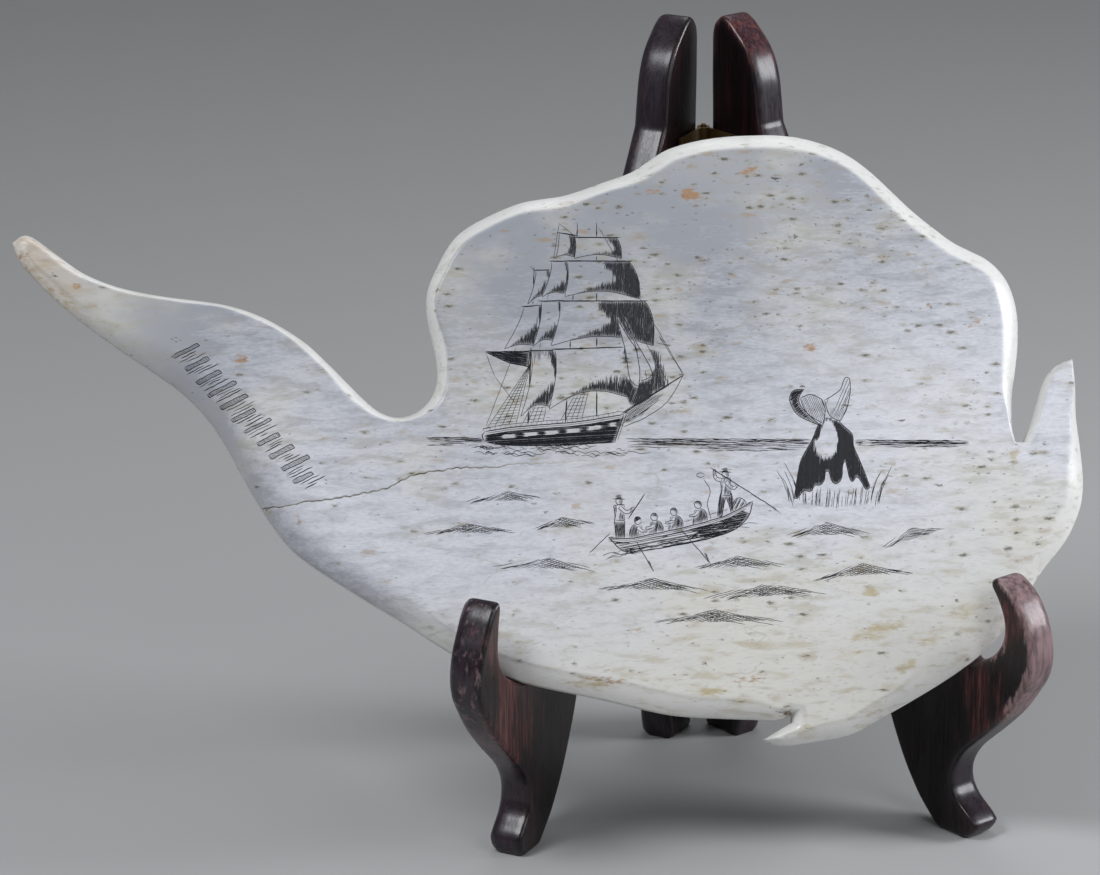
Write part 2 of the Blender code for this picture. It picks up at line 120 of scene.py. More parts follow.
# Where the front bevel is wider or narrower: x, y and reach in millimetres, then its share of the
# usual width
BEVEL_CHANGES = (
    (7, 131, 9, 0.50), (21.5, 121, 9, 0.42), (36, 117, 9, 0.42), (51, 114.7, 9, 0.42),
    (66, 108.5, 9, 0.45), (78, 98.5, 9, 0.50), (90, 86, 8, 0.55), (98, 86, 7, 0.50),
    (104.5, 96, 8, 0.50), (103, 112, 9, 0.50), (108, 127, 9, 0.62), (123, 137, 10, 0.75),
    (148, 143, 10, 0.80), (266.7, 96, 7, 0.30), (258, 87, 6, 0.28), (254.6, 79, 5, 0.28),
    (251, 74, 5, 0.30), (249.5, 82, 6, 0.60), (267, 88, 7, 0.45), (267, 77, 6, 0.60),
    (264, 52, 9, 1.20), (255, 40, 9, 1.30), (244, 26, 10, 1.35), (230, 16, 10, 1.35),
    (11, 115, 11, 1.20), (26, 103, 13, 1.32), (43, 90.6, 14, 1.36), (54.6, 71, 14, 1.36),
    (66, 52.6, 14, 1.32), (88, 36.8, 13, 1.20), (184, 1, 6, 0.50), (190, 7, 6, 0.50), (203, 1, 7, 0.80))

# Discoloured places on the bone's face: x and y, radii along and across, turn in degrees, then how
# ochre and how umber each is. Lengths are in millimetres from the arm's tip and the lowest edge.
STAINS = (
    (171.3, 140.3, 2.6, 1.2, -8, 0.95, 0.30), (161.6, 141.3, 1.8, 0.9, 0, 0.60, 0.20),
    (186.9, 146.3, 2.6, 1.0, 5, 0.80, 0.10), (193.2, 144.1, 1.6, 0.8, 0, 0.30, 0.70),
    (197.0, 128.5, 1.5, 0.9, 20, 0.40, 0.65), (212.2, 128.1, 1.6, 0.8, 0, 0.40, 0.60),
    (174.2, 122.9, 1.6, 0.8, 0, 0.50, 0.45), (199.9, 100.3, 1.4, 1.0, 0, 0.80, 0.40),
    (242.5, 105.3, 1.8, 1.1, 30, 0.60, 0.30), (231.2, 110.0, 1.3, 0.9, 0, 0.45, 0.40),
    (214.4, 85.0, 1.4, 0.9, 0, 0.50, 0.35),
    (180.2, 16.3, 4.5, 1.2, 5, 0.45, 0.10), (143.7, 17.6, 7.0, 1.3, -12, 0.40, 0.05),
    (156.2, 15.9, 3.5, 1.4, 0, 0.30, 0.15), (189.1, 7.9, 2.0, 1.0, 0, 0.50, 0.70),
    (2.3, 129.3, 1.5, 0.9, -20, 0.50, 0.15), (9.9, 124.3, 1.1, 0.8, -20, 0.30, 0.60),
    (15.5, 121.4, 1.6, 0.8, -25, 0.60, 0.20), (8.5, 119.6, 1.5, 0.7, -25, 0.40, 0.40),
    (140.0, 138.5, 22.0, 1.3, 6, 0.26, 0.0),
    (56.0, 101.6, 2.2, 0.9, -5, 0.75, 0.35), (43.5, 121.0, 1.6, 0.7, -10, 0.55, 0.45),
    (69.0, 60.5, 0.7, 2.4, 8, 0.45, 0.25), (230.0, 120.0, 20.0, 1.3, -45, 0.28, 0.0),
)
# Pale yellow patches: x and y, radii along and across, turn in degrees, strength
PALE_STAINS = (
    (212.8, 27.4, 6.0, 1.6, 8, 1.00), (219.0, 29.2, 3.4, 1.0, 20, 0.80), (211.8, 37.4, 2.2, 1.1, 0, 0.75),
    (236.2, 32.0, 5.0, 2.0, 25, 0.60), (219.8, 18.2, 2.6, 1.6, 20, 0.75), (191.9, 13.8, 4.5, 1.5, 22, 0.80),
    (204.2, 21.2, 4.5, 1.4, 12, 0.70), (226.3, 25.0, 4.0, 1.6, 20, 0.62), (194.1, 3.0, 2.6, 1.5, 0, 0.80),
    (210.6, 8.0, 3.4, 1.6, 15, 0.60), (250.5, 71.4, 0.8, 2.8, 6, 1.00), (170.0, 14.0, 5.0, 1.5, -4, 0.60),
    (141.0, 17.0, 6.0, 1.6, -10, 0.70), (4.0, 126.0, 3.0, 1.4, -40, 0.70), (11.5, 118.5, 4.0, 1.6, -40, 0.70))
# The drying crack, from its left end: x and y in millimetres
CRACK = (
    (59.4, 63.9), (69.4, 64.6), (79.4, 65.7), (89.5, 67.2), (94.6, 69.3), (100.9, 71.4),
    (107.2, 71.9), (119.8, 72.3), (129.9, 72.8), (145.1, 73.1))
# Middle line of the arm and of the lower left: x and y in millimetres
MIDDLE_LINE = ((0, 127), (10, 121), (26, 111), (43, 103), (55, 91), (66, 78), (88, 56), (110, 30))

# Waves of the engraving: place of the left foot, length, height and turn in degrees
WAVES = (
    ((113.0, 63.4), 15.5, 2.6, 1), ((101.5, 55.8), 21.0, 2.6, -1), ((128.0, 56.0), 14.5, 2.7, 3),
    ((119.5, 46.6), 21.0, 3.0, -3), ((145.5, 40.4), 23.0, 3.1, -3), ((159.0, 31.6), 27.0, 3.4, -2),
    ((173.5, 37.0), 25.5, 3.2, 1), ((193.0, 52.2), 18.0, 3.4, 0), ((198.5, 41.2), 22.0, 3.4, 2),
    ((217.0, 48.8), 14.0, 3.2, 14), ((169.5, 44.8), 19.5, 3.0, 0))
# The other drawings: x and y of each one's zero in millimetres, then its turn in degrees
SEA_TILT = -2.1                     # the horizon falls to the right
HORIZON_PLACE = ((101.3, 80.0), SEA_TILT)
SHIP_PLACE = ((116.2, 79.6), SEA_TILT)
WHALE_PLACE = ((204.0, 63.6), SEA_TILT)
# Outline of the whale's stock over the water, which hides the sea line, from the whale's own zero
WHALE_STOCK = (
    (-9.6, 1), (-8.2, 7.6), (-5.6, 12.2), (-3.4, 17), (2.4, 16.8), (4.9, 14.3), (7.1, 6.8), (9.3, 1))
BOAT_PLACE = ((146.3, 53.2), -0.3)
BAND_PLACE = ((38.8, 102.9), -48.6)


def length_setting(name, description, default):
    return FloatProperty(name=name, description=description, default=default, min=0.0,
                         unit="LENGTH", subtype="DISTANCE", precision=5)


def colour_setting(name, description, default):
    return FloatVectorProperty(name=name, description=description, default=default, size=4,
                               min=0.0, max=1.0, subtype="COLOR")


def share_setting(name, description, default):
    return FloatProperty(name=name, description=description, default=default, min=0.0, max=1.0,
                         subtype="FACTOR")


def power_setting(name, description, default):
    return FloatProperty(name=name, description=description, default=default, min=0.0, unit="POWER")


class BoneSettings(PropertyGroup):
    """Sizes and colours of the whale bone."""
    rim_width: length_setting("Rim width", "Width of the bevel round the engraved face", 0.0047)
    rim_depth: length_setting("Rim depth", "How far that bevel falls at the outline", 0.0038)
    unevenness: length_setting("Unevenness", "Depth of the face's slow hollows", 0.00010)
    crack_depth: length_setting("Crack depth", "Depth of the fine drying crack", 0.00012)
    face: colour_setting("Face", "Cool white of the polished face", (0.725, 0.735, 0.790, 1))
    # grain is also the grey that the painted shade of the face leans to
    grain: colour_setting("Grain", "Blue grey streaks and clouds of the face", (0.318, 0.332, 0.372, 1))
    cream: colour_setting("Cream", "Warmer white of the lower part and of clouds", (0.690, 0.664, 0.585, 1))
    rim: colour_setting("Rim", "Clear white of the worked edges", (0.800, 0.795, 0.765, 1))
    ochre: colour_setting("Ochre", "Yellow brown stains", (0.370, 0.190, 0.060, 1))
    olive: colour_setting("Olive", "Greenish grey of fine lines and pores' edges", (0.300, 0.270, 0.160, 1))
    straw: colour_setting("Straw", "Pale yellow of the larger patches", (0.450, 0.355, 0.160, 1))
    umber: colour_setting("Umber", "Dark brown stains and pores", (0.035, 0.026, 0.022, 1))
    pores: share_setting("Pores", "Share of the places that have a dark pore", 0.10)


class EngravingSettings(PropertyGroup):
    """Sizes and colours of the engraving."""
    stroke_width: FloatProperty(name="Stroke width", default=1.0, min=0.3, max=3.0,
                                description="Width of every stroke as a share of the drawn one")
    stroke_height: length_setting("Stroke height", "How far the ink stands over the face", 0.00004)
    ink: colour_setting("Ink", "Blue-black of the ink", (0.006, 0.007, 0.011, 1))
    worn_ink: colour_setting("Worn ink", "Grey of the ink where it is rubbed", (0.040, 0.044, 0.060, 1))


class StandSettings(PropertyGroup):
    """Sizes and colours of the two boards."""
    outer_round: length_setting("Outer rounding", "Radius of the outer face's edges", 0.0032)
    inner_round: length_setting("Inner rounding", "Radius of the inner face's edges", 0.0012)
    unevenness: length_setting("Unevenness", "Depth of the carving's slow hollows", 0.00012)
    wood: colour_setting("Wood", "Near-black of the rosewood", (0.0045, 0.0026, 0.0030, 1))
    grain: colour_setting("Grain", "Red brown of its grain", (0.030, 0.0070, 0.0070, 1))
    # worn also paints a highlight, in part, on the right board's top
    worn: colour_setting("Worn", "Red of the rubbed wood near the crook", (0.170, 0.048, 0.042, 1))
    # On the right hook this pinkish grey is partly wear and partly painted sheen
    scuffed: colour_setting("Scuffed", "Pinkish grey of the scuffed front edges", (0.360, 0.235, 0.235, 1))
    # Painted sheen: a purple tint on the edges that stands in for the reflection of the lights on the polish
    painted_sheen_tint: colour_setting("Bloom", "Purplish haze of old polish on the edges", (0.105, 0.080, 0.120, 1))


class HingeSettings(PropertyGroup):
    """Colours of the hinge."""
    brass: colour_setting("Brass", "Colour of the aged brass", (0.170, 0.110, 0.052, 1))
    tarnish: colour_setting("Tarnish", "Brown of its tarnish", (0.024, 0.017, 0.013, 1))


class StageSettings(PropertyGroup):
    """Floor and light."""
    floor_size: length_setting("Floor size", "Length of the floor's sides", 8.0)
    floor: colour_setting("Floor", "Colour of the floor", (0.44, 0.44, 0.44, 1))
    room: FloatProperty(name="Room light", default=0.19, min=0.0,
                        description="Strength of the even light from the pale room")
    key: power_setting("Key light", "Power of the soft light at the right side", 6.2)
    fill: power_setting("Fill light", "Power of the soft light above at the left", 6.3)
    near: power_setting("Near light", "Power of the soft light close in front at the right", 0.85)
    back: power_setting("Back light", "Power of the soft light above and behind", 1.1)


def unit(vectors):
    return vectors / np.maximum(np.linalg.norm(vectors, axis=-1, keepdims=True), 1e-12)


def smooth_step(value, start, end):
    """0 before start, 1 after end, and 3t^2 - 2t^3 between them."""
    t = np.clip((value - start) / (end - start), 0, 1)
    return t * t * (3 - 2 * t)


def slow_waves(points, wavelength, seed):
    """Mean of six sine waves in different directions, enlarged so that most of it lies between -1
    and 1, for a hand-worked surface."""
    chance = np.random.default_rng(seed)
    turn = chance.uniform(0, np.pi, SINES)
    length = wavelength * chance.uniform(0.75, 1.8, SINES)
    phase = chance.uniform(0, 2 * np.pi, SINES)
    along = points @ np.array([np.cos(turn), np.sin(turn)])
    return np.mean(np.sin(2 * np.pi * along / length + phase), axis=1) * SINES_ENLARGED


def distance_to_line(line, points, closed=True):
    """Distance from each point to the nearest place on the line."""
    start = line if closed else line[:-1]
    along = (np.roll(line, -1, axis=0) if closed else line[1:]) - start
    squared = np.maximum(np.sum(along * along, axis=1), 1e-18)
    found = []
    for some in np.array_split(points, max(1, len(points) // AT_ONCE)):
        to_point = some[:, None] - start[None]
        share = np.clip(np.sum(to_point * along, axis=2) / squared, 0, 1)
        gap = to_point - share[..., None] * along
        found.append(np.sqrt(np.min(np.sum(gap * gap, axis=2), axis=1)))
    return np.concatenate(found)


def hermite(t, start, leave, end, arrive):
    """Cubic Hermite curve from start to end, with these tangents there, at the share t of its way."""
    return ((2 * t**3 - 3 * t**2 + 1) * start + (t**3 - 2 * t**2 + t) * leave
            + (3 * t**2 - 2 * t**3) * end + (t**3 - t**2) * arrive)


def smoothed(line, step):
    """Closed curve through the points. Between two of them it is a cubic Hermite piece, and a
    point's tangent is the mean of its two chords, the shorter one counting more. At a corner each
    piece leaves along its own chord."""
    before = line - np.roll(line, 1, axis=0)
    after = np.roll(line, -1, axis=0) - line
    reach_before = np.linalg.norm(before, axis=1)[:, None]
    reach_after = np.linalg.norm(after, axis=1)[:, None]
    cross = before[:, 0] * after[:, 1] - before[:, 1] * after[:, 0]
    turn = np.abs(np.arctan2(cross, np.sum(before * after, axis=1)))[:, None]
    tangent = unit(unit(before) * reach_after + unit(after) * reach_before)
    leave = np.where(turn > CORNER_TURN, unit(after), tangent) * reach_after
    arrive = np.roll(np.where(turn > CORNER_TURN, unit(before), tangent), -1, axis=0) * reach_after
    count = np.ceil(reach_after[:, 0] / step).astype(int)
    piece = np.repeat(np.arange(len(line)), count)
    place = np.arange(len(piece)) - np.repeat(np.cumsum(count) - count, count)
    end = np.roll(line, -1, axis=0)
    t = (place / count[piece])[:, None]
    return hermite(t, line[piece], leave[piece], end[piece], arrive[piece])


def put_mesh(name, places, faces, attributes=(), smooth=True):
    """A new object at the origin with these vertices and faces, and numbers kept on its vertices."""
    mesh = bpy.data.meshes.new(name)
    mesh.from_pydata(np.asarray(places, float).tolist(), [], faces)
    for title, values in dict(attributes).items():
        mesh.attributes.new(title, "FLOAT", "POINT").data.foreach_set(
            "value", np.asarray(values, np.float32))
    mesh.polygons.foreach_set("use_smooth", np.full(len(mesh.polygons), smooth))
    mesh.update()
    piece = bpy.data.objects.new(name, mesh)
    bpy.context.scene.collection.objects.link(piece)
    return piece


class Slab:
    """A board or bone cut from flat stock, as its CAD node has it: axes, outline and thickness.
    A place on it is x along it and y up it from its outline's lowest values, and z outward from
    the middle of its thickness."""

    def __init__(self, node, toward, roll=0.0):
        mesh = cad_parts[node].data
        mesh.calc_loop_triangles()
        places = np.empty(3 * len(mesh.vertices))
        mesh.vertices.foreach_get("co", places)
        corners = np.empty(3 * len(mesh.loop_triangles), np.int32)
        mesh.loop_triangles.foreach_get("vertices", corners)
        places = places.reshape(-1, 3)
        self.low, self.high = places.min(axis=0), places.max(axis=0)
        triangles = places[corners].reshape(-1, 3, 3)
        cross = np.cross(triangles[:, 1] - triangles[:, 0], triangles[:, 2] - triangles[:, 0])
        normals = unit(cross)
        out = normals[np.argmax(np.sum(cross * cross, axis=1))]
        out = out * np.sign(out @ np.array(toward))
        level = unit(np.cross([0.0, 0.0, 1.0], out))
        rise = np.cross(out, level)
        across = math.cos(roll) * level + math.sin(roll) * rise
        up = np.cross(out, across)
        axes = np.array([across, up, out])
        local = triangles @ axes.T
        flat_normals = normals @ axes.T
        wall = np.abs(flat_normals[:, 2]) < WALL_TILT
        self.line = self.walk(local[wall][:, :, :2], flat_normals[wall][:, :2])
        low = self.line.min(axis=0)
        depth = local[..., 2]
        middle = 0.5 * (depth.min() + depth.max())
        self.half = 0.5 * (depth.max() - depth.min())
        self.origin = np.array([low[0], low[1], middle]) @ axes
        self.axes = axes
        self.line = self.line - low
        self.size = self.line.max(axis=0)

    @staticmethod
    def walk(segments, outward):
        """The closed line that the wall's triangles stand on, with the inside on its left."""
        points = segments.reshape(-1, 2)
        gap = np.max(np.abs(points[:, None] - points[None]), axis=2)
        label = np.argmax(gap < SAME_PLACE, axis=1)
        names = label.reshape(-1, 3)
        pair = np.where((names[:, 0] != names[:, 1])[:, None], names[:, :2], names[:, 1:])
        ahead = np.stack([-outward[:, 1], outward[:, 0]], axis=1)
        forward = np.sum((points[pair[:, 1]] - points[pair[:, 0]]) * ahead, axis=1) > 0
        pair = np.where(forward[:, None], pair, pair[:, ::-1])
        following = dict(pair.tolist())
        start = min(following)
        order = [start]
        while following[order[-1]] != start:
            order.append(following[order[-1]])
        return points[order]

    def world(self, flat, depth):
        """Places in the frame of the points at these heights over the middle of the thickness."""
        return np.column_stack([flat, depth]) @ self.axes + self.origin

    def turned(self):
        """Euler turn of a Mapping node that takes Object coordinates to this slab's axes."""
        return tuple(Matrix(self.axes.tolist()).to_euler())

    def shift(self):
        """Shift of that Mapping node, which brings the slab's own zero to zero."""
        return tuple(-(self.axes @ self.origin))


def slab_points(line, rings, extra):
    """Points of a slab's face: its outline, rings inside that, an even triangular grid farther in,
    and the extra points. rings(points) gives the rings' distances from the outline, which may vary
    along it. Crowded points are thinned to one a cell."""
    tangent = np.roll(line, -1, axis=0) - np.roll(line, 1, axis=0)
    inward = unit(np.stack([-tangent[:, 1], tangent[:, 0]], axis=1))
    reach = rings(line)
    free = (line + inward * reach[..., None]).reshape(-1, 2)
    free = free[distance_to_line(line, free) > RING_KEPT * reach.ravel()]
    low, high = line.min(axis=0), line.max(axis=0)
    rows = np.arange(low[1], high[1], FACE_CELL * math.sqrt(0.75))
    columns = np.arange(low[0], high[0], FACE_CELL)
    grid = np.stack(np.meshgrid(columns, rows), axis=-1)
    grid[1::2, :, 0] += 0.5 * FACE_CELL
    grid = grid.reshape(-1, 2)
    grid = grid[inside(line, grid)]
    grid = grid[distance_to_line(line, grid) > rings(grid)[-1] + GRID_CLEAR * FACE_CELL]
    if len(extra):
        grid = grid[distance_to_line(extra, grid, closed=False) > EXTRA_CLEAR * FACE_CELL]
        free = np.vstack([extra, free])
    cells = np.floor(free / (CROWDED_CELL * FACE_CELL)).astype(int)
    _, first = np.unique(cells, axis=0, return_index=True)
    return np.vstack([line, free[np.sort(first)], grid])


def inside(shape, points):
    """Whether each point is inside the closed shape: a level line to its right crosses it an odd
    number of times."""
    after = np.roll(shape, -1, axis=0)
    found = []
    for some in np.array_split(points, max(1, len(points) // AT_ONCE)):
        x, y = some[:, 0, None], some[:, 1, None]
        straddles = (shape[:, 1] > y) != (after[:, 1] > y)
        rise = np.where(straddles, after[:, 1] - shape[:, 1], 1)
        crossing = shape[:, 0] + (y - shape[:, 1]) / rise * (after[:, 0] - shape[:, 0])
        found.append(np.sum(straddles & (x < crossing), axis=1) % 2 == 1)
    return np.concatenate(found)


def put_slab(name, slab, front, back, marks, rings, extra=()):
    """A closed slab: its outline is filled with a fine triangle mesh, whose points are raised to
    the heights front(points, distance to the outline) and back(points, distance), and a wall of
    several bands joins the two faces. rings(points) gives the distances of the rings inside the
    outline and marks(points, distance, side) the vertex numbers. No place leaves the node's box."""
    line = np.clip(smoothed(slab.line, RIM_STEP), 0, slab.size)
    seeds = slab_points(line, rings, np.asarray(extra, float))
    rim = list(range(len(line)))
    edges = [(i, (i + 1) % len(line)) for i in rim]
    flat, _, faces, origins, _, _ = delaunay_2d_cdt(
        [Vector(p) for p in seeds.tolist()], edges, [rim], 1, 1e-7)
    flat = np.array([tuple(p) for p in flat])
    faces = np.array([tuple(f) for f in faces])
    place_of = {old: new for new, olds in enumerate(origins) for old in olds}
    rim = np.array([place_of[i] for i in rim])
    distance = distance_to_line(line, flat)
    distance[rim] = 0
    top, bottom = front(flat, distance), back(flat, distance)
    rim_places = np.tile(flat[rim], (WALL_BANDS - 1, 1))
    share = np.arange(1, WALL_BANDS)[:, None] / WALL_BANDS
    wall_height = (top[rim] + share * (bottom[rim] - top[rim])).ravel()
    count = len(flat)
    places = np.vstack([slab.world(flat, top), slab.world(flat, bottom),
                        slab.world(rim_places, wall_height)])
    places = np.clip(places, slab.low, slab.high)
    between = 2 * count + np.arange(len(rim_places)).reshape(WALL_BANDS - 1, -1)
    rows = np.vstack([rim, between, rim + count])
    ahead = np.roll(rows, -1, axis=1)
    wall = np.stack([ahead[:-1], rows[:-1], rows[1:], ahead[1:]], axis=-1).reshape(-1, 4)
    polygons = faces.tolist() + (faces[:, ::-1] + count).tolist() + wall.tolist()
    sides = [marks(flat, distance, 1), marks(flat, distance, -1),
             marks(rim_places, np.zeros(len(rim_places)), 0)]
    attributes = {key: np.concatenate([s[key] for s in sides]) for key in sides[0]}
    return put_mesh(name, places, polygons, attributes)


class BoneShape:
    """Heights of the bone's two faces over the middle of its thickness."""

    def __init__(self, slab, settings):
        self.slab = slab
        self.rim_width = settings.rim_width
        self.rim_depth = settings.rim_depth
        self.unevenness = settings.unevenness
        self.crack_depth = settings.crack_depth
        crack = evenly(curve(np.array(CRACK)), 0.4)
        sway = slow_waves(crack, 2.6, 31) + 0.8 * slow_waves(crack, 7.0, 32)
        crack[:, 1] += CRACK_SWAY * sway
        self.crack = crack * MM
        columns = np.arange(0.5, ARM_COLUMNS)
        places = np.stack(np.meshgrid(columns, ARM_ROWS), axis=-1).reshape(-1, 2) * MM
        outline = smoothed(slab.line, 4 * RIM_STEP)
        places = places[inside(outline, places)]
        widest = np.zeros(ARM_COLUMNS)
        np.maximum.at(widest, (places[:, 0] / MM).astype(int), distance_to_line(outline, places))
        window = 2 * ARM_SMOOTHING + 1
        widest = np.pad(widest, ARM_SMOOTHING, mode="edge")
        self.arm_half = np.convolve(widest, np.full(window, 1 / window), mode="valid")

    def thinning(self, x):
        """Share of the full thickness: all of it over the body, less along the arm to its tip."""
        t = smooth_step(x / self.slab.size[0], 0, ARM_THINS_FROM)
        return ARM_TIP_SHARE + (1 - ARM_TIP_SHARE) * t

    def change(self, points):
        """Share of the usual bevel width at each point: each listed place multiplies it by its own
        share, to a power that falls off as a bell curve."""
        power = np.zeros(len(points))
        for x, y, reach, share in BEVEL_CHANGES:
            gap = np.sum((points / MM - np.array([x, y]))**2, axis=1)
            power += math.log(share) * np.exp(-gap / reach**2)
        return np.exp(power)

    def width(self, points):
        """Width of the front bevel, which varies slowly as handwork does."""
        return self.rim_width * (1 + 0.10 * slow_waves(points, 0.030, 4)) * self.change(points)

    def from_edge(self, points, distance):
        """Distance to the outline. Along the arm it levels off toward the middle, which makes the
        arm's section round: with w half the arm's width and s the distance's share of it, it is
        w (1.5 s - 0.5 s^3)."""
        x = points[:, 0] / MM
        half = np.interp(x, np.arange(0.5, ARM_COLUMNS), self.arm_half)
        s = np.clip(distance / half, 0, 1)
        return distance + smooth_step(-x, -72, -40) * (half * (1.5 * s - 0.5 * s**3) - distance)

    def below(self, points):
        """How far under the middle line of the arm and of the lower left a point lies, in mm."""
        x, y = points[:, 0] / MM, points[:, 1] / MM
        return np.interp(x, *np.transpose(MIDDLE_LINE)) - y

    def softness(self, points):
        """1 where the bevel is wide or on the arm's underside, and rolls over without a ridge, and 0
        where it is crisp."""
        arm = smooth_step(-points[:, 0] / MM, -75, -45) * smooth_step(self.below(points), -1, 4)
        return np.maximum(smooth_step(self.change(points), 1.05, 1.40), arm)

    def rings(self, points):
        return np.array(BEVEL_SHARES)[:, None] * self.width(points)

    def rim(self, points, distance):
        """How far into the bevel a point is: 1 at the outline and 0 on the face. It is the mean of
        t and sqrt(t^2 + b), where t falls evenly inward and b is larger where the bend is soft."""
        t = 1 - self.from_edge(points, distance) / self.width(points)
        return 0.5 * (t + np.sqrt(t * t + 0.0014 + 0.34 * self.softness(points)))

    def crack_mark(self, points):
        """1 / (1 + (gap / width)^2), where the width varies along the crack, and less to the right,
        where the crack closes."""
        gap = distance_to_line(self.crack, points, closed=False)
        width = (0.13 + 0.05 * slow_waves(points, 0.004, 33)) * MM
        return (1 - 0.55 * smooth_step(points[:, 0], 0.105, 0.140)) / (1 + (gap / width)**2)

    def front(self, points, distance):
        """Half the thickness, less a bevel that is nearly straight and rounds over at the outline,
        less slow hollows and the crack, all thinned along the arm."""
        t = self.rim(points, distance)
        drop = self.rim_depth * (BEVEL_STRAIGHT * t + (1 - BEVEL_STRAIGHT) * t**3)
        hollow = self.unevenness * (0.5 + 0.5 * slow_waves(points, 0.040, 7)) * (1 - np.clip(t, 0, 1))
        groove = self.crack_depth * self.crack_mark(points)
        return (self.slab.half - drop) * self.thinning(points[:, 0]) - hollow - groove

    def back(self, points, distance):
        """The same on the back, with an even round edge."""
        t = np.clip(1 - distance / BACK_RIM_WIDTH, 0, 1)
        drop = BACK_RIM_DEPTH * (1 - np.sqrt(1 - t * t))
        hollow = 2 * self.unevenness * (0.5 + 0.5 * slow_waves(points, 0.030, 9)) * (1 - t)
        return -(self.slab.half - drop) * self.thinning(points[:, 0]) + hollow

    def marks(self, points, distance, side):
        """Vertex numbers that the material reads: rim, crack, ochre, umber, pale, warm, shade, crowd and tip.
        The lower part is warmer and the arm has few pores. shade greys the face toward the top and along the
        arm. It is painted light where it eases off at the right side and the arm's root, and painted shade on
        the arm's underside. side is 1 on the front, -1 on the back and 0 between."""
        ochre, umber, pale = np.zeros((3, len(points)))
        x, y = points[:, 0] / MM, points[:, 1] / MM
        warm = 0.95 * smooth_step(-y + 0.16 * x, -36, 16)
        warm += 0.5 * smooth_step(-x, -60, -4) * smooth_step(y, 60, 120)
        warm += 0.22 * smooth_step(slow_waves(points, 0.05, 12), 0.1, 0.9)
        # Greyer toward the top and along the arm. Less grey at the right side and the arm's root: painted
        # light where more light falls
        shade = smooth_step(y - 0.12 * x, 22, 140) + 0.48 * smooth_step(-x, -60, -5)
        shade -= 0.22 * smooth_step(x, 165, 235) + 0.24 * np.exp(-((x - 68) / 24)**2)
        crowd = 0.30 + 0.60 * smooth_step(x, 75, 130)
        crowd += 0.45 * smooth_step(y, 80, 125) * smooth_step(x, 120, 150)
        crowd *= 1 - 0.40 * smooth_step(-y, -78, -52)
        tip = smooth_step(-x, -24, -3)
        # under: the arm's underside, which gets painted shade
        under = smooth_step(self.below(points), -2, 9) * smooth_step(-x, -125, -85)

        def patch(x, y, along, across, turn):
            """Bell-shaped mark with its longer axis turned by some degrees."""
            turn = math.radians(turn)
            gap = points / MM - np.array([x, y])
            a = (gap[:, 0] * math.cos(turn) + gap[:, 1] * math.sin(turn)) / along
            b = (gap[:, 1] * math.cos(turn) - gap[:, 0] * math.sin(turn)) / across
            return np.exp(-0.7 * (a * a + b * b))

        for *shape, yellow, brown in STAINS:
            mark = patch(*shape)
            ochre = np.maximum(ochre, yellow * mark)
            umber = np.maximum(umber, brown * mark**1.6)
        for *shape, yellow in PALE_STAINS:
            pale = np.maximum(pale, yellow * patch(*shape))
        if side == 1:
            rim = np.clip(self.rim(points, distance), 0, 1)
            # Painted shade on the arm's underside: its bevel greys. The rim's white is held back there and
            # where the bevel rolls over softly
            shade = shade + 0.85 * under * rim
            rim = rim * (1 - under) * (1 - 0.8 * self.softness(points))
            crack = self.crack_mark(points)
        else:
            rim = np.clip(1 - distance / (1.6 * BACK_RIM_WIDTH), 0, 1) if side else np.ones(len(points))
            crack = np.zeros(len(points))
            ochre, umber, pale = 0.5 * ochre, 0.3 * umber, 0.3 * pale
        return {"rim": rim, "crack": crack, "ochre": ochre, "umber": umber, "pale": pale,
                "warm": np.clip(warm, 0, 1), "shade": np.clip(shade, 0, 1), "crowd": crowd, "tip": tip}


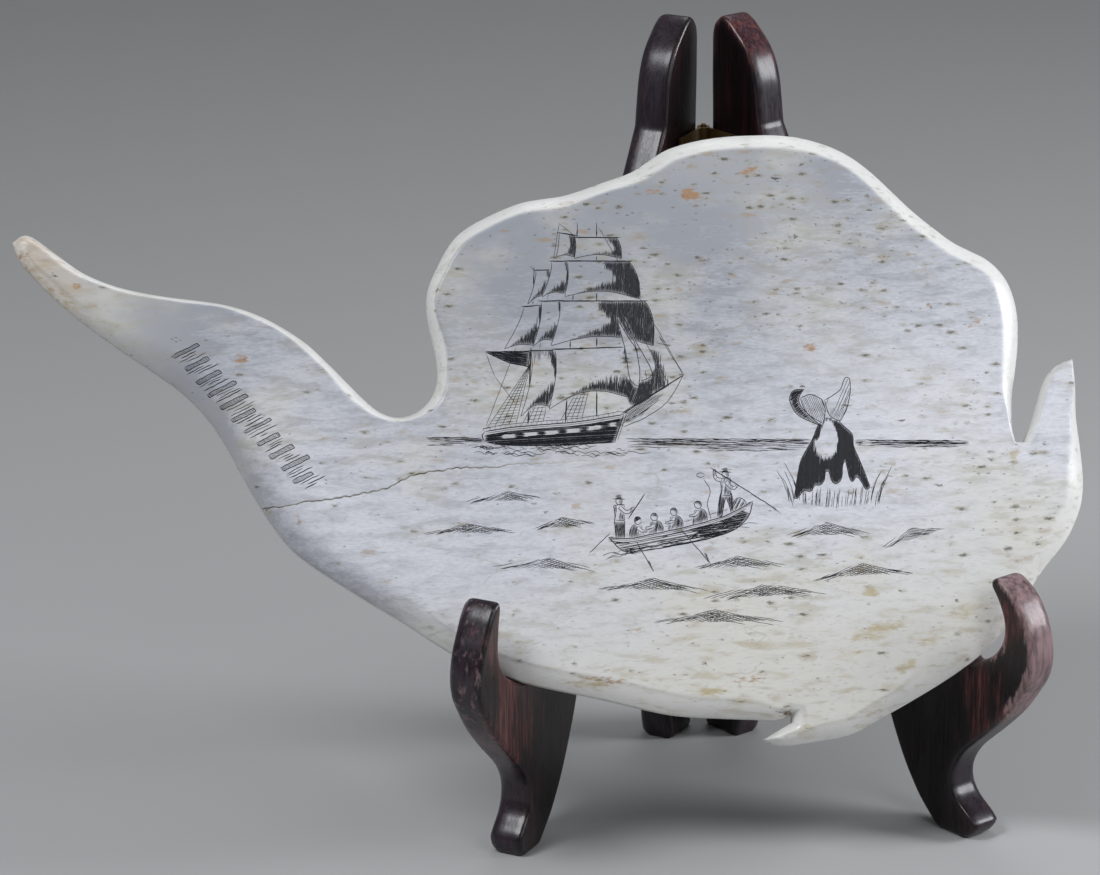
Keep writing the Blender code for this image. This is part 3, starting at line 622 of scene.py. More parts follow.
class BoardShape:
    """Heights of a board's two faces over the middle of its thickness."""

    def __init__(self, side, toward, seed, settings):
        self.slab = Slab("stand_" + side, toward)
        self.side = side
        self.seed = seed
        self.settings = settings

    def face(self, points, distance, radius, seed):
        """Half the thickness, less a quarter circle at the edge and slow hollows."""
        t = np.clip(1 - distance / radius, 0, 1)
        hollow = self.settings.unevenness * (0.5 + 0.5 * slow_waves(points, 0.024, seed)) * (1 - t)
        return self.slab.half - radius * (1 - np.sqrt(1 - t * t)) - hollow

    def outer(self, points, distance):
        return self.face(points, distance, self.settings.outer_round, self.seed)

    def inner(self, points, distance):
        return -self.face(points, distance, self.settings.inner_round, self.seed + 7)

    def rings(self, points):
        return np.repeat(np.array(ROUND_OFFSETS)[:, None] * MM, len(points), axis=1)

    def marks(self, points, distance, facing):
        """Vertex numbers: rubbed near the crook and on the top, where the right board's red is partly painted
        highlight. Pinkish grey wear on the hook's front, partly painted sheen. And edge, which also carries
        the painted sheen of the edges. facing is 1 on the outer face, -1 on the inner one and 0 between them."""
        forward, height = points.T
        if self.side == "right":
            forward = self.slab.size[0] - forward

        def near_to(place, squash, reach):
            gap = (forward - place[0])**2 + squash * (height - place[1])**2
            return np.exp(-gap / reach**2)

        top_wear_and_highlight, scuffs_and_sheen, inner_wear = BOARD_WEAR_AND_PAINTED_LIGHT[self.side]
        near = {1: 1.6 * self.settings.outer_round, 0: 1, -1: 2.4 * self.settings.inner_round}[facing]
        edge = np.clip(1 - distance / near, 0, 1)
        crook = (OUTER_WEAR if facing == 1 else inner_wear) * near_to(CROOK, 0.5, CROOK_REACH)
        tip = near_to(HOOK_TIP, 1, HOOK_TIP_REACH)
        front = smooth_step(forward, 0.104, 0.116) * smooth_step(height, 0.026, 0.044)
        # The red top is wear and, on the right board, partly painted highlight
        top = smooth_step(height, 0.178, 0.194) * top_wear_and_highlight
        low = smooth_step(-height, -0.052, -0.032)
        return {"rubbed": crook + 0.6 * tip + top * edge + 0.8 * scuffs_and_sheen * edge * front * low,
                "scuffed": scuffs_and_sheen * edge * (front * (1 - 0.8 * tip) * (1 - 0.55 * low) + 0.10),
                "edge": np.where(facing == -1, 0.3, 1.0) * edge**0.6}


def curve(controls, per_piece=8):
    """Open curve through the points: cubic Hermite pieces whose end tangents run along the chord of
    the two neighbours."""
    points = np.asarray(controls, float)
    if len(points) < 3:
        return points
    chord = np.diff(points, axis=0)
    tangent = unit(np.vstack([chord[:1], points[2:] - points[:-2], chord[-1:]]))
    reach = np.linalg.norm(chord, axis=1)[:, None, None]
    t = np.linspace(0, 1, per_piece, endpoint=False)[None, :, None]
    line = hermite(t, points[:-1, None], reach * tangent[:-1, None], points[1:, None],
                   reach * tangent[1:, None])
    return np.vstack([line.reshape(-1, 2), points[-1:]])


def evenly(points, step):
    """The same line with points at even distances of about one step."""
    reach = np.linalg.norm(np.diff(points, axis=0), axis=1)
    along = np.concatenate([[0], np.cumsum(reach)])
    places = np.linspace(0, along[-1], max(3, int(np.ceil(along[-1] / step)) + 1))
    return np.column_stack([np.interp(places, along, points[:, 0]),
                            np.interp(places, along, points[:, 1])])


def runs(points, keep):
    """The stretches of a line whose points are kept."""
    edges = np.flatnonzero(np.diff(np.concatenate([[0], keep.astype(int), [0]])))
    return [points[a:b] for a, b in zip(edges[::2], edges[1::2]) if b - a > 1]


def ring(centre, radius, squash):
    """Closed ring whose height is the share squash of its width."""
    turn = np.linspace(0, 2 * np.pi, RING_POINTS)
    return np.column_stack([centre[0] + radius * np.cos(turn),
                            centre[1] + squash * radius * np.sin(turn)])


class Drawing:
    """Strokes of an engraving, in millimetres on the bone's face, each with the width of its cut."""

    def __init__(self, seed, origin, turn=0.0):
        self.strokes = []
        self.chance = np.random.default_rng(seed)
        self.move(origin, turn)

    def move(self, origin, turn):
        """What is drawn next has its zero at origin and is turned anticlockwise by degrees."""
        turn = math.radians(turn)
        self.origin = np.array(origin, float)
        self.axes = np.array([[math.cos(turn), math.sin(turn)], [-math.sin(turn), math.cos(turn)]])

    def placed(self, points):
        return np.asarray(points, float) @ self.axes + self.origin

    def line(self, points, width, shake=0.04):
        """One stroke along the points, with a hand's slow shake across it."""
        points = evenly(self.placed(points), STROKE_STEP)
        phase = self.chance.uniform(0, 2 * np.pi, 4)
        along = np.arange(len(points)) * STROKE_STEP
        sway = np.stack([np.sin(1.3 * along + phase[0]) + 0.5 * np.sin(3.1 * along + phase[1]),
                         np.sin(1.1 * along + phase[2]) + 0.5 * np.sin(2.7 * along + phase[3])], axis=1)
        self.strokes.append((points + shake * sway, width))

    def fill(self, shape, angle, spacing, width, tone=None, shake=STEADY):
        """Parallel strokes across a closed shape. Each is kept where the tone there, from 0 to 1,
        is above a chance level of its own, so that a shade fades out raggedly."""
        angle = math.radians(angle)
        axes = np.array([[math.cos(angle), -math.sin(angle)], [math.sin(angle), math.cos(angle)]])
        turned = np.asarray(shape, float) @ axes
        after = np.roll(turned, -1, axis=0)
        levels = np.arange(turned[:, 1].min() + 0.5 * spacing, turned[:, 1].max(), spacing)
        for level in levels + self.chance.normal(0, 0.10 * spacing, len(levels)):
            cut = (turned[:, 1] > level) != (after[:, 1] > level)
            a, b = turned[cut], after[cut]
            across = np.sort(a[:, 0] + (level - a[:, 1]) / (b[:, 1] - a[:, 1]) * (b[:, 0] - a[:, 0]))
            for start, end in zip(across[::2], across[1::2]):
                count = max(3, int((end - start) / HATCH_STEP) + 1)
                points = np.column_stack([np.linspace(start, end, count), np.full(count, level)]) @ axes.T
                limit = self.chance.uniform(0.05, 0.95)
                kept = np.ones(count, bool) if tone is None else tone(points) > limit
                for run in runs(points, kept):
                    self.line(run, width * self.chance.uniform(0.8, 1.1), shake)

    def hide(self, shape):
        """Take away what has been drawn inside a closed shape, which stands in front of it."""
        shape = self.placed(shape)
        low, high = shape.min(axis=0), shape.max(axis=0)
        left = []
        for points, width in self.strokes:
            if np.any(points.max(axis=0) < low) or np.any(points.min(axis=0) > high):
                left.append((points, width))
            else:
                left += [(run, width) for run in runs(points, ~inside(shape, points))]
        self.strokes = left

    def part(self, shape, tone, angle=78.0, spacing=0.26, outline=0.22):
        """A closed shape that stands in front: shaded, with a line round it."""
        self.hide(shape)
        self.fill(shape, angle, spacing, 0.22, tone)
        self.line(np.vstack([shape, shape[:1]]), outline, STEADY)


def limb(points, start, end):
    """Outline round a curved line, half as wide as start at its one end and as end at the other."""
    line = curve(points, 5)
    half = np.linspace(start, end, len(line))[:, None]
    side = unit(np.gradient(line, axis=0)) @ np.array([[0.0, 1.0], [-1.0, 0.0]])
    return np.vstack([line + side * half, (line - side * half)[::-1]])


def sail_shape(head_left, head_right, foot_left, foot_right, bulge, lift):
    """Outline of a square sail: its sides bulge to leeward and its foot is cut in an arch."""
    head_left, head_right, foot_left, foot_right = (
        np.array(p, float) for p in (head_left, head_right, foot_left, foot_right))
    t = np.linspace(0, 1, 14)[:, None]
    swell = np.sin(np.pi * t**0.8) * [1, 0]
    right = head_right + t * (foot_right - head_right) + bulge * swell
    left = foot_left + t * (head_left - foot_left) + 0.55 * bulge * swell[::-1]
    foot = foot_right + t * (foot_left - foot_right) + lift * np.sin(np.pi * t) * [0, 1]
    return np.vstack([[head_left], right, foot[1:-1], left])


def draw_sail(d, corners, bulge, lift, lee, wedge, darkness=1.0):
    """A square sail in front of what is there. Its lee side is solid dark for the share lee of its
    width. A shade lies along its foot, as deep to leeward as the share wedge of its height."""
    head_left, head_right, foot_left, foot_right = np.array(corners, float)
    shape = sail_shape(head_left, head_right, foot_left, foot_right, bulge, lift)
    d.hide(shape)

    def tone(points):
        rough = (points[:, 0] - foot_left[0]) / (foot_right[0] - foot_left[0])
        arch = lift * np.sin(np.pi * np.clip(rough, 0, 1))
        foot = foot_left[1] + rough * (foot_right[1] - foot_left[1]) + arch
        down = np.clip((head_left[1] - points[:, 1]) / (head_left[1] - foot), 0, 1)
        swell = bulge * np.sin(np.pi * down)
        left = head_left[0] + down * (foot_left[0] - head_left[0]) + 0.55 * swell
        right = head_right[0] + down * (foot_right[0] - head_right[0]) + swell
        across = (points[:, 0] - left) / np.maximum(right - left, 0.5)
        edge = across + 0.05 * np.sin(9 * down) + 0.02 * np.sin(31 * down)
        solid = smooth_step(edge, 1 - lee, 1.09 - lee)
        depth = np.maximum(wedge * smooth_step(across, 0.05, 1.1 - 0.6 * lee), 1e-6)
        shade = smooth_step(down, 1 - depth, 1 - 0.30 * depth)
        return darkness * np.maximum(1.3 * solid, shade * (depth > 0.02))

    d.fill(shape, 86, 0.16, 0.25, tone)
    d.line(np.vstack([shape, shape[:1]]), 0.20, STEADY)
    d.line([np.add(corners[0], (-0.8, 0.1)), np.add(corners[1], (1.0, 0.1))], 0.32, STEADY)


def draw_shrouds(d, foot_left, foot_right, head, rungs):
    """Shrouds that run from the rail up to a mast, with ratlines across them."""
    foot_left, foot_right, head = (np.array(p, float) for p in (foot_left, foot_right, head))
    for share in np.linspace(0, 1, 5):
        d.line([foot_left + share * (foot_right - foot_left), head], 0.17, STEADY)
    for share in np.linspace(0.06, 0.80, rungs):
        left, right = foot_left + share * (head - foot_left), foot_right + share * (head - foot_right)
        d.line([left, right], 0.15, SLIGHT)


def draw_jib(d, corners, darkness):
    """A narrow sail on a stay, in front of what is there, shaded along its foot."""
    jib = curve(list(corners) + [corners[0]], 4)
    low, high = jib[:, 1].min(), jib[:, 1].max()
    fade = low + 0.35 * (high - low)
    d.hide(jib)
    d.fill(jib, 98, 0.18, 0.22, lambda p: darkness * smooth_step(-p[:, 1], -fade, -low))
    d.line(jib, 0.26, STEADY)


def draw_hull(d):
    """The ship's dark side, with a light strake under the rail and a row of ports."""
    rail = curve([(0.2, 1.6), (6, 2.6), (14, 3.4), (24, 4.3), (35.3, 6.2)])
    water = curve([(0.0, -0.9), (4, -1.7), (14, -1.9), (24, -1.5), (32.9, -0.9)])
    stem = curve([(35.3, 6.2), (34.2, 3.0), (32.9, -0.9)])
    d.hide(np.vstack([rail, stem, water[::-1]]))
    wale = rail - [0, 1.0]

    def paint(points):
        level = np.interp(points[:, 0], wale[:, 0], wale[:, 1]) - 1.15
        stretch = (points[:, 0] - 5.0) % 5.4
        row = (points[:, 0] > 4) & (points[:, 0] < 33)
        return np.where(row & (stretch < 2.5) & (np.abs(points[:, 1] - level) < 0.48), 0.0, 1.0)

    d.fill(np.vstack([wale, [(34.4, 3.6)], water[::-1]]), 3.5, 0.17, 0.27, paint, 0.01)
    d.line(rail - [0, 0.5], 0.15, STEADY)
    for x in np.arange(1.5, 34, 1.3):
        top = np.interp(x, rail[:, 0], rail[:, 1])
        d.line([(x, top), (x + 0.05, top + 0.9)], 0.17, STEADY)
    d.line(rail + [0, 0.9], 0.18, STEADY)
    for line, width in ((rail, 0.34), (wale, 0.30), (water, 0.28), (stem, 0.34),
                        (stem + [0.7, 0.3], 0.18), ([(0.2, 1.6), (-0.6, 0.6), (0.0, -0.9)], 0.34),
                        ([(0.2, 1.6), (-0.4, 2.4), (1.8, 2.6)], 0.22)):
        d.line(line, width, STEADY)


def draw_ship(d):
    """A three-masted square-rigger under full sail. The sails of the two after masts show only
    beside those of the foremast, and the lee sides are dark."""
    for foot, top, head in ((11.0, 12.9, 42.0), (20.4, 24.0, 53.6), (28.4, 28.9, 53.6)):
        d.line([(foot, 3.0), (top, head)], 0.44, STEADY)
        d.line([(top, head - 1.0), (top, head + 1.8)], 0.24, STEADY)
    for start, end in (((11.9, 44.0), (19.2, 37.0)), ((19.4, 55.0), (29.2, 47.0)),
                       ((12.0, 33.0), (0.5, 3.0)), ((19.4, 55.0), (11.0, 3.0)),
                       ((0.5, 21.7), (2.8, 15.6)), ((2.8, 15.6), (8.0, 8.7))):
        d.line([start, end], 0.16, STEADY)
    gaff = np.vstack([[(0.4, 21.9), (11.6, 22.2), (11.4, 18.2)],
                      curve([(11.4, 18.2), (6.4, 19.2), (0.4, 21.9)])])
    d.fill(gaff, 172, 0.17, 0.26)
    d.line(np.vstack([gaff, gaff[:1]]), 0.30)
    draw_shrouds(d, (0.8, 2.6), (8.0, 3.4), (11.8, 19.0), 17)
    draw_sail(d, ((10.3, 33.4), (14.6, 34.0), (5.2, 22.6), (12.6, 23.6)), 0.9, 0.7, 0.16, 0.95)
    draw_sail(d, ((13.4, 42.8), (16.6, 43.0), (11.2, 34.1), (15.0, 36.4)), 0.7, 0.5, 0.16, 0.95)
    draw_shrouds(d, (9.6, 3.6), (14.8, 4.0), (18.8, 21.0), 14)
    draw_sail(d, ((12.0, 22.2), (17.4, 22.4), (9.2, 5.4), (16.0, 8.2)), 1.9, 1.4, 0.20, 0.60)
    d.fill([(12.1, 22.2), (17.4, 22.4), (18.2, 18.6), (15.0, 20.2), (12.4, 18.8)], 88, 0.26, 0.18,
           lambda p: 0.2 * (p[:, 1] - 17.6))
    draw_sail(d, ((14.6, 34.9), (19.8, 35.1), (12.4, 23.3), (17.6, 24.8)), 1.3, 1.0, 0.20, 0.85)
    draw_sail(d, ((17.4, 45.2), (21.6, 45.2), (14.8, 36.0), (20.4, 37.0)), 1.0, 0.8, 0.24, 0.75)
    draw_sail(d, ((19.4, 52.6), (23.4, 51.8), (18.6, 46.4), (23.2, 46.4)), 0.3, 0.5, 0.42, 0.30)
    draw_shrouds(d, (19.2, 4.4), (24.6, 4.8), (28.6, 21.0), 14)
    draw_sail(d, ((18.0, 22.6), (36.4, 23.4), (16.4, 7.4), (36.2, 10.6)), 1.6, 3.0, 0.08, 0.72, 1.05)
    draw_sail(d, ((19.4, 35.0), (41.0, 35.2), (17.0, 23.6), (43.0, 23.8)), 1.2, 2.4, 0.55, 0.55, 1.3)
    draw_sail(d, ((21.2, 45.3), (37.0, 45.4), (20.6, 36.2), (39.4, 35.8)), 1.2, 1.7, 0.42, 0.66, 1.3)
    draw_sail(d, ((23.4, 51.4), (34.0, 51.4), (23.2, 46.0), (35.2, 46.0)), 0.5, 1.1, 0.24, 0.45, 1.2)
    d.fill([(37.0, 45.4), (39.7, 40.4), (40.0, 36.0), (36.4, 36.6), (36.0, 44.0)], 86, 0.16, 0.25)
    for foot, head in (((50.6, 16.4), (29.5, 54.0)), ((46.8, 14.0), (36.5, 33.0)),
                       ((43.6, 24.6), (47.6, 23.8)), ((46.6, 23.8), (44.4, 26.4)),
                       ((50.6, 16.4), (44.4, 26.4))):
        d.line([foot, head], 0.17, STEADY)
    outer_jib = [(42.0, 23.0), (45.0, 22.4), (46.6, 18.0), (46.8, 13.4), (43.4, 11.6), (40.6, 13.4),
                 (43.4, 18.4)]
    d.fill(outer_jib, 84, 0.19, 0.24,
           lambda p: 1.2 - 0.22 * np.maximum(p[:, 0] - 0.30 * (23 - p[:, 1]) - 42.0, 0) ** 1.5)
    jib_foot = curve([(36.0, 14.4), (38.4, 15.6), (41.8, 14.6), (42.8, 12.2), (40.4, 9.4), (37.4, 8.4),
                      (36.2, 10.4), (36.0, 14.4)])
    d.fill(jib_foot, 70, 0.17, 0.26)
    draw_jib(d, ((35.4, 31.4), (38.8, 24.4), (42.6, 17.0), (41.4, 15.4), (39.4, 15.2), (38.8, 22.6)), 0.2)
    draw_jib(d, ((33.8, 30.8), (36.6, 26.0), (38.7, 22.4), (39.2, 13.6), (37.0, 15.2), (36.0, 22.0)), 0.35)
    for low in (0.0, 0.40):
        d.line([(34.6, 6.4 - low), (50.6, 16.4)], 0.34, STEADY)
    d.line(curve([(35.2, 3.0), (41, 5.6), (46.4, 9.6), (50.6, 16.4)]), 0.22)
    d.line(curve([(35.4, 4.4), (40, 6.8), (44.6, 10.2)]), 0.20)
    d.fill([(34.6, 3.4), (40, 6.0), (45.6, 11.6), (42.6, 11.0), (35.2, 6.2)], 35, 0.30, 0.22)
    draw_hull(d)
    for _ in range(54):
        start, low = d.chance.uniform(-3.5, 37), d.chance.uniform(-4.6, -1.7)
        reach = d.chance.uniform(2.0, 7.0)
        d.line(curve([(start, low), (start + 0.3 * reach, low + 0.40), (start + 0.65 * reach, low - 0.2),
                      (start + reach, low + 0.25)]), 0.18, LOOSE)


def draw_horizon(d):
    """The sea line: a thin one with short dark dashes on it, over level strokes that fade down."""
    for start, end, low, width in ((0, 15, 0.1, 0.26), (2, 16, -0.5, 0.20), (50.5, 138, 0.15, 0.22),
                                   (51, 138, -0.6, 0.16), (113, 138, -0.4, 0.30), (52, 96, -1.3, 0.17)):
        d.line(curve([(start, low), (0.6 * start + 0.4 * end, low + 0.1), (end, low - 0.05)]), width, LOOSE)
    for left, right, count, depth in ((0, 13, 30, 1.9), (50, 92, 96, 2.9), (50, 70, 26, 1.6),
                                      (78, 130, 40, 1.2), (112, 136, 34, 1.7)):
        for low in -depth * d.chance.uniform(0, 1, count):
            start = d.chance.uniform(left, right - 2)
            end = (start + d.chance.uniform(2.0, 9.0), low + d.chance.normal(0, 0.08))
            d.line([(start, low), end], d.chance.uniform(0.10, 0.16), 0.04)
    for start, reach in ((54, 3.0), (72.5, 2.2), (82, 2.0), (112, 3.4), (118, 2.0), (124.5, 4.0),
                         (131, 2.4), (4, 3.0)):
        d.line([(start, 0.2), (start + reach, 0.15)], 0.42, SLIGHT)


def draw_wave(d, width, height):
    """One wave: fine parallel strokes that rise to a blunt crest, and others that fall from it,
    within a low three-cornered shape, and cross under the crest."""
    peak = d.chance.uniform(0.44, 0.58)
    shape = np.vstack([curve([(0, 0), (0.5 * peak * width, 0.50 * height), (peak * width, height)]),
                       curve([(peak * width, height), (0.78 * width, 0.50 * height), (width, 0.10 * height)]),
                       curve([(width, 0.10 * height), (0.60 * width, 0.04 * height), (0, 0)])])
    left = math.degrees(math.atan2(height, peak * width))
    right = math.degrees(math.atan2(-0.9 * height, (1 - peak) * width))

    def rising(p):
        return 1.5 - 2.0 * np.maximum(p[:, 0] / width - peak, 0)

    def falling(p):
        return 1.5 * smooth_step(p[:, 0] / width, peak - 0.30, peak + 0.05)

    def level(p):
        return 0.6 - 3.0 * np.abs(p[:, 0] / width - peak)

    for tone, angle, spacing in ((rising, left + 4, 0.42), (falling, right, 0.44), (level, 3, 0.40)):
        d.fill(shape, angle, spacing, 0.17, tone, LOOSE)
    for _ in range(5):
        start, low = d.chance.uniform(-0.16, 0.10) * width, d.chance.uniform(-0.16, 0.10) * height
        reach = d.chance.uniform(0.2, 0.4)
        d.line([(start, low), (start + reach * width, low + reach / peak * height * 0.8)], 0.18, LOOSE)
        start, low = d.chance.uniform(peak, 0.85) * width, d.chance.uniform(0.2, 0.6) * height
        d.line([(start, low), (start + 0.28 * width, low - 0.42 * height)], 0.17, LOOSE)


def draw_rower(d, x, y, facing, darkness):
    """A seated figure behind the gunwale: a hatched coat, a small round head with dark hair and an
    arm that reaches for the oar."""
    flip = np.array([facing, 1.0])
    torso = curve([(-1.9, -1.0), (-2.0, 1.2), (-1.3, 2.7), (-0.2, 3.3), (0.9, 2.9), (1.5, 1.6),
                   (1.7, -1.0)], 4)
    d.part(torso * flip + (x, y),
           lambda p: darkness * smooth_step((x - p[:, 0]) * facing, -1.8, 0.4) + 0.52, 78, 0.19)
    head = ring((x + 0.2 * facing, y + 4.1), 0.92, 1.10)
    d.part(head, lambda p: np.maximum(smooth_step(p[:, 1], y + 4.0, y + 4.5),
                                      smooth_step((x - p[:, 0]) * facing, -0.2, 0.3)), 30, 0.20, 0.22)
    hair = [(x + facing * (0.2 + 0.95 * math.cos(a)), y + 4.15 + 1.05 * math.sin(a))
            for a in np.radians(range(30, 220, 19))]
    d.fill(hair, 30, 0.17, 0.26)
    arm = limb([(x + 0.1 * facing, y + 2.5), (x + 1.1 * facing, y + 1.5), (x + 2.5 * facing, y + 1.3)],
               0.45, 0.28)
    d.part(arm, lambda p: 0.3 + smooth_step(-p[:, 1], -y - 1.7, -y - 1.2), 10, 0.26, 0.18)


def even_tone(value):
    """A tone for fill and part that is the same all over."""
    return lambda points: np.full(len(points), value)


def draw_stander(d, x, y, height, stride, arms):
    """A standing figure: dark trousers, a shaded jacket, a head under a brimmed hat, and sleeves
    along the given lines."""
    for side in (-1, 1):
        leg = limb([(x + side * stride, y), (x + side * (0.6 * stride + 0.25), y + 0.24 * height),
                    (x + 0.5 * side, y + 0.50 * height)], 0.55, 0.80)
        d.part(leg, even_tone(1.0), 84, 0.17, 0.26)
    jacket = limb([(x, y + 0.44 * height), (x + 0.1, y + 0.62 * height), (x - 0.05, y + 0.80 * height)],
                  1.15, 1.35)
    d.part(jacket, lambda p: 0.45 + 0.70 * smooth_step(p[:, 0], x - 0.3, x + 0.7), 80, 0.22)
    for arm in arms:
        d.part(limb(arm, 0.50, 0.32), even_tone(0.45), 60, 0.26, 0.22)
    head = ring((x + 0.1, y + 0.89 * height), 0.88, 1.1)
    d.part(head, lambda p: smooth_step(p[:, 0], x - 0.1, x + 0.4), 70, 0.2)
    top = y + 0.94 * height
    crown = [(x - 0.90, top), (x - 0.70, top + 1.0), (x + 0.80, top + 1.0), (x + 0.95, top)]
    d.fill(crown, 5, 0.18, 0.24)
    d.line([(x - 1.6, top), (x + 1.7, top - 0.1)], 0.34, STEADY)


def draw_boat(d):
    """A pulling boat that climbs a swell, with four rowers, a steersman astern and a harpooner in
    the bow. The crew sit behind the near side."""
    gunwale = curve([(0, 0.2), (5, -0.2), (12, 0.9), (20, 2.4), (30, 5.0), (37.0, 8.4)])
    keel = curve([(37.0, 8.4), (35.6, 4.6), (32.4, 1.6), (26, -0.6), (16, -2.4), (8, -3.4), (3.8, -3.3),
                  (0, 0.2)])
    far_side = curve([(0, 0.2), (7, 1.3), (18, 3.4), (29, 6.2), (37.0, 8.4)])
    d.line(far_side, 0.20, SLIGHT)
    for x, y, facing, darkness in ((7.4, 0.2, 1, 0.5), (12.0, 1.0, -1, 1.0), (17.0, 2.2, -1, 1.0),
                                   (23.2, 3.8, -1, 0.7)):
        draw_rower(d, x, y, facing, darkness)
    draw_stander(d, 3.0, -0.4, 11.0, 0.5, [[(3.2, 7.8), (5.0, 6.5), (6.8, 7.6)]])
    draw_stander(d, 30.2, 4.8, 12.0, 1.8, [[(30.0, 13.8), (27.8, 14.6), (27.6, 16.8)],
                                           [(30.4, 13.6), (32.0, 11.9), (33.4, 12.7)]])
    d.line([(5.2, 4.8), (9.8, 11.2)], 0.34, SLIGHT)
    d.line([(0.6, 1.4), (-5.0, -3.6)], 0.26, SLIGHT)
    d.line(curve([(26.2, 4.0), (25.4, 8.0), (26.2, 11.6), (24.6, 14.6)]), 0.22, LOOSE)
    d.line(ring((24.0, 15.4), 1.0, 0.6), 0.22, SLIGHT)
    d.line([(26.6, 17.2), (33.6, 12.5), (43.0, 6.0)], 0.32, SLIGHT)
    d.fill([(42.0, 7.2), (44.2, 5.0), (42.2, 6.0)], 45, 0.20, 0.24)
    bow_tub = curve([(31.8, 5.4), (32.0, 8.2), (33.4, 9.4), (35.0, 8.6), (35.4, 7.6)], 5)
    d.part(bow_tub, even_tone(0.8), 60, 0.2)
    d.hide(np.vstack([gunwale, keel]))
    strake = gunwale - [0, 0.9]

    def planks(p):
        return 0.50 + 0.60 * smooth_step(p[:, 0], 12, 34) + 0.20 * np.sin(0.55 * p[:, 0] + 0.8 * p[:, 1])

    d.fill(np.vstack([strake[:-3], keel[6:-3]]), 9, 0.19, 0.26, planks)
    for line, width in ((gunwale, 0.34), (strake[:-2], 0.24), (keel, 0.34), (gunwale - [0, 0.4], 0.15)):
        d.line(line, width, SLIGHT)
    for start, end in (((7.0, -1.0), (11.0, -8.6)), ((18.4, 1.8), (25.4, -7.0))):
        d.line([start, end], 0.26, SLIGHT)
        blade = [np.add(end, (-1.5, 2.6)), np.add(end, (-0.9, 2.9)), np.add(end, (0.3, -0.6))]
        d.fill(blade, -60, 0.20, 0.26)
    for _ in range(34):
        start = d.chance.uniform(-3, 34)
        low = d.chance.uniform(-5.4, -3.9) + 0.20 * start
        d.line(curve([(start, low), (start + 1.8, low + 0.6), (start + 4.4, low + 0.5)]), 0.19, LOOSE)


def draw_whale(d):
    """A whale going down: the tail stock stands out of the water under its two flukes."""
    stock_left = curve([(-10.1, -2.3), (-9.6, 1.0), (-8.2, 7.6), (-5.6, 12.2), (-3.4, 17.0), (-2.0, 18.6)])
    stock_right = curve([(1.2, 18.4), (2.4, 16.8), (4.9, 14.3), (5.3, 11.2), (7.1, 6.8), (9.3, 0.8)])
    feet = curve([(9.3, 0.8), (8.3, 0.2), (6.9, 2.4), (5.9, 3.4), (4.6, 2.2), (3.6, 5.4), (2.8, 7.4),
                  (2.0, 3.0), (0.6, 1.6), (-0.5, 2.4), (-1.6, 4.9), (-2.4, 2.5), (-3.4, 1.3), (-4.8, 1.2),
                  (-5.9, -0.4), (-7.6, -0.2), (-9.2, -2.0), (-10.1, -2.3)], 4)
    stock = np.vstack([stock_left, stock_right, feet[1:-1]])
    d.hide(stock)

    def skin(points):
        """Dark but for a pear-shaped patch, whose lower right side fades."""
        x, y = points[:, 0] + 1.1, points[:, 1] - 12.4
        reach = np.hypot(x / (2.5 - 0.14 * y), y / 5.2)
        return smooth_step(reach + 0.10 * (x - y) * (y < 0), 0.92, 1.12 + 0.25 * (y < 0))

    d.fill(stock, 87, 0.145, 0.26, skin, 0.01)
    for line in (stock_left, stock_right, feet):
        d.line(line, 0.30, STEADY)
    crescent = np.vstack([curve([(-7.1, 25.8), (-10.0, 25.2), (-10.8, 22.6), (-8.6, 19.0), (-3.0, 16.4)]),
                          curve([(-3.0, 16.4), (-6.2, 19.4), (-8.2, 21.8), (-8.4, 23.8), (-7.1, 25.8)])])
    left = np.vstack([curve([(-8.2, 23.4), (-5.6, 24.4), (-2.6, 23.2)]),
                      curve([(-2.6, 23.2), (-1.8, 20.4), (-2.4, 17.0)]),
                      curve([(-2.4, 17.0), (-6.4, 19.6), (-8.2, 23.4)])])
    right = np.vstack([curve([(-2.0, 22.9), (0.2, 24.2), (2.2, 25.8), (3.9, 28.9), (4.7, 26.0),
                              (3.7, 20.9), (2.0, 17.6)]),
                       curve([(2.0, 17.6), (-0.6, 19.0), (-2.0, 22.9)])])
    d.hide(left)
    d.hide(right)
    d.fill(left, 112, 0.42, 0.17)
    d.fill(right, 66, 0.36, 0.18, lambda p: 0.55 + 0.7 * smooth_step(-p[:, 1], -22.0, -18.0))
    d.fill(crescent, 40, 0.17, 0.26)
    for line in (left, right, crescent):
        d.line(line, 0.26, STEADY)
    for k in range(18):
        side = 1 if k % 2 else -1
        foot, rise = side * d.chance.uniform(8.4, 11.5), d.chance.uniform(1.0, 7.0)
        low = d.chance.uniform(-4.6, -2.4)
        d.line(curve([(foot, low), (foot + side * 0.25 * rise, 0.5 * rise + low + 2),
                      (foot + side * 0.6 * rise, rise + low + 3)]), 0.18, LOOSE)
    for _ in range(40):
        foot, rise = d.chance.uniform(-9.0, 9.0), d.chance.uniform(1.2, 5.0)
        low = -4.6 + 0.12 * abs(foot)
        d.line([(foot, low), (1.04 * foot + 0.1 * rise, low + rise)], 0.18, LOOSE)


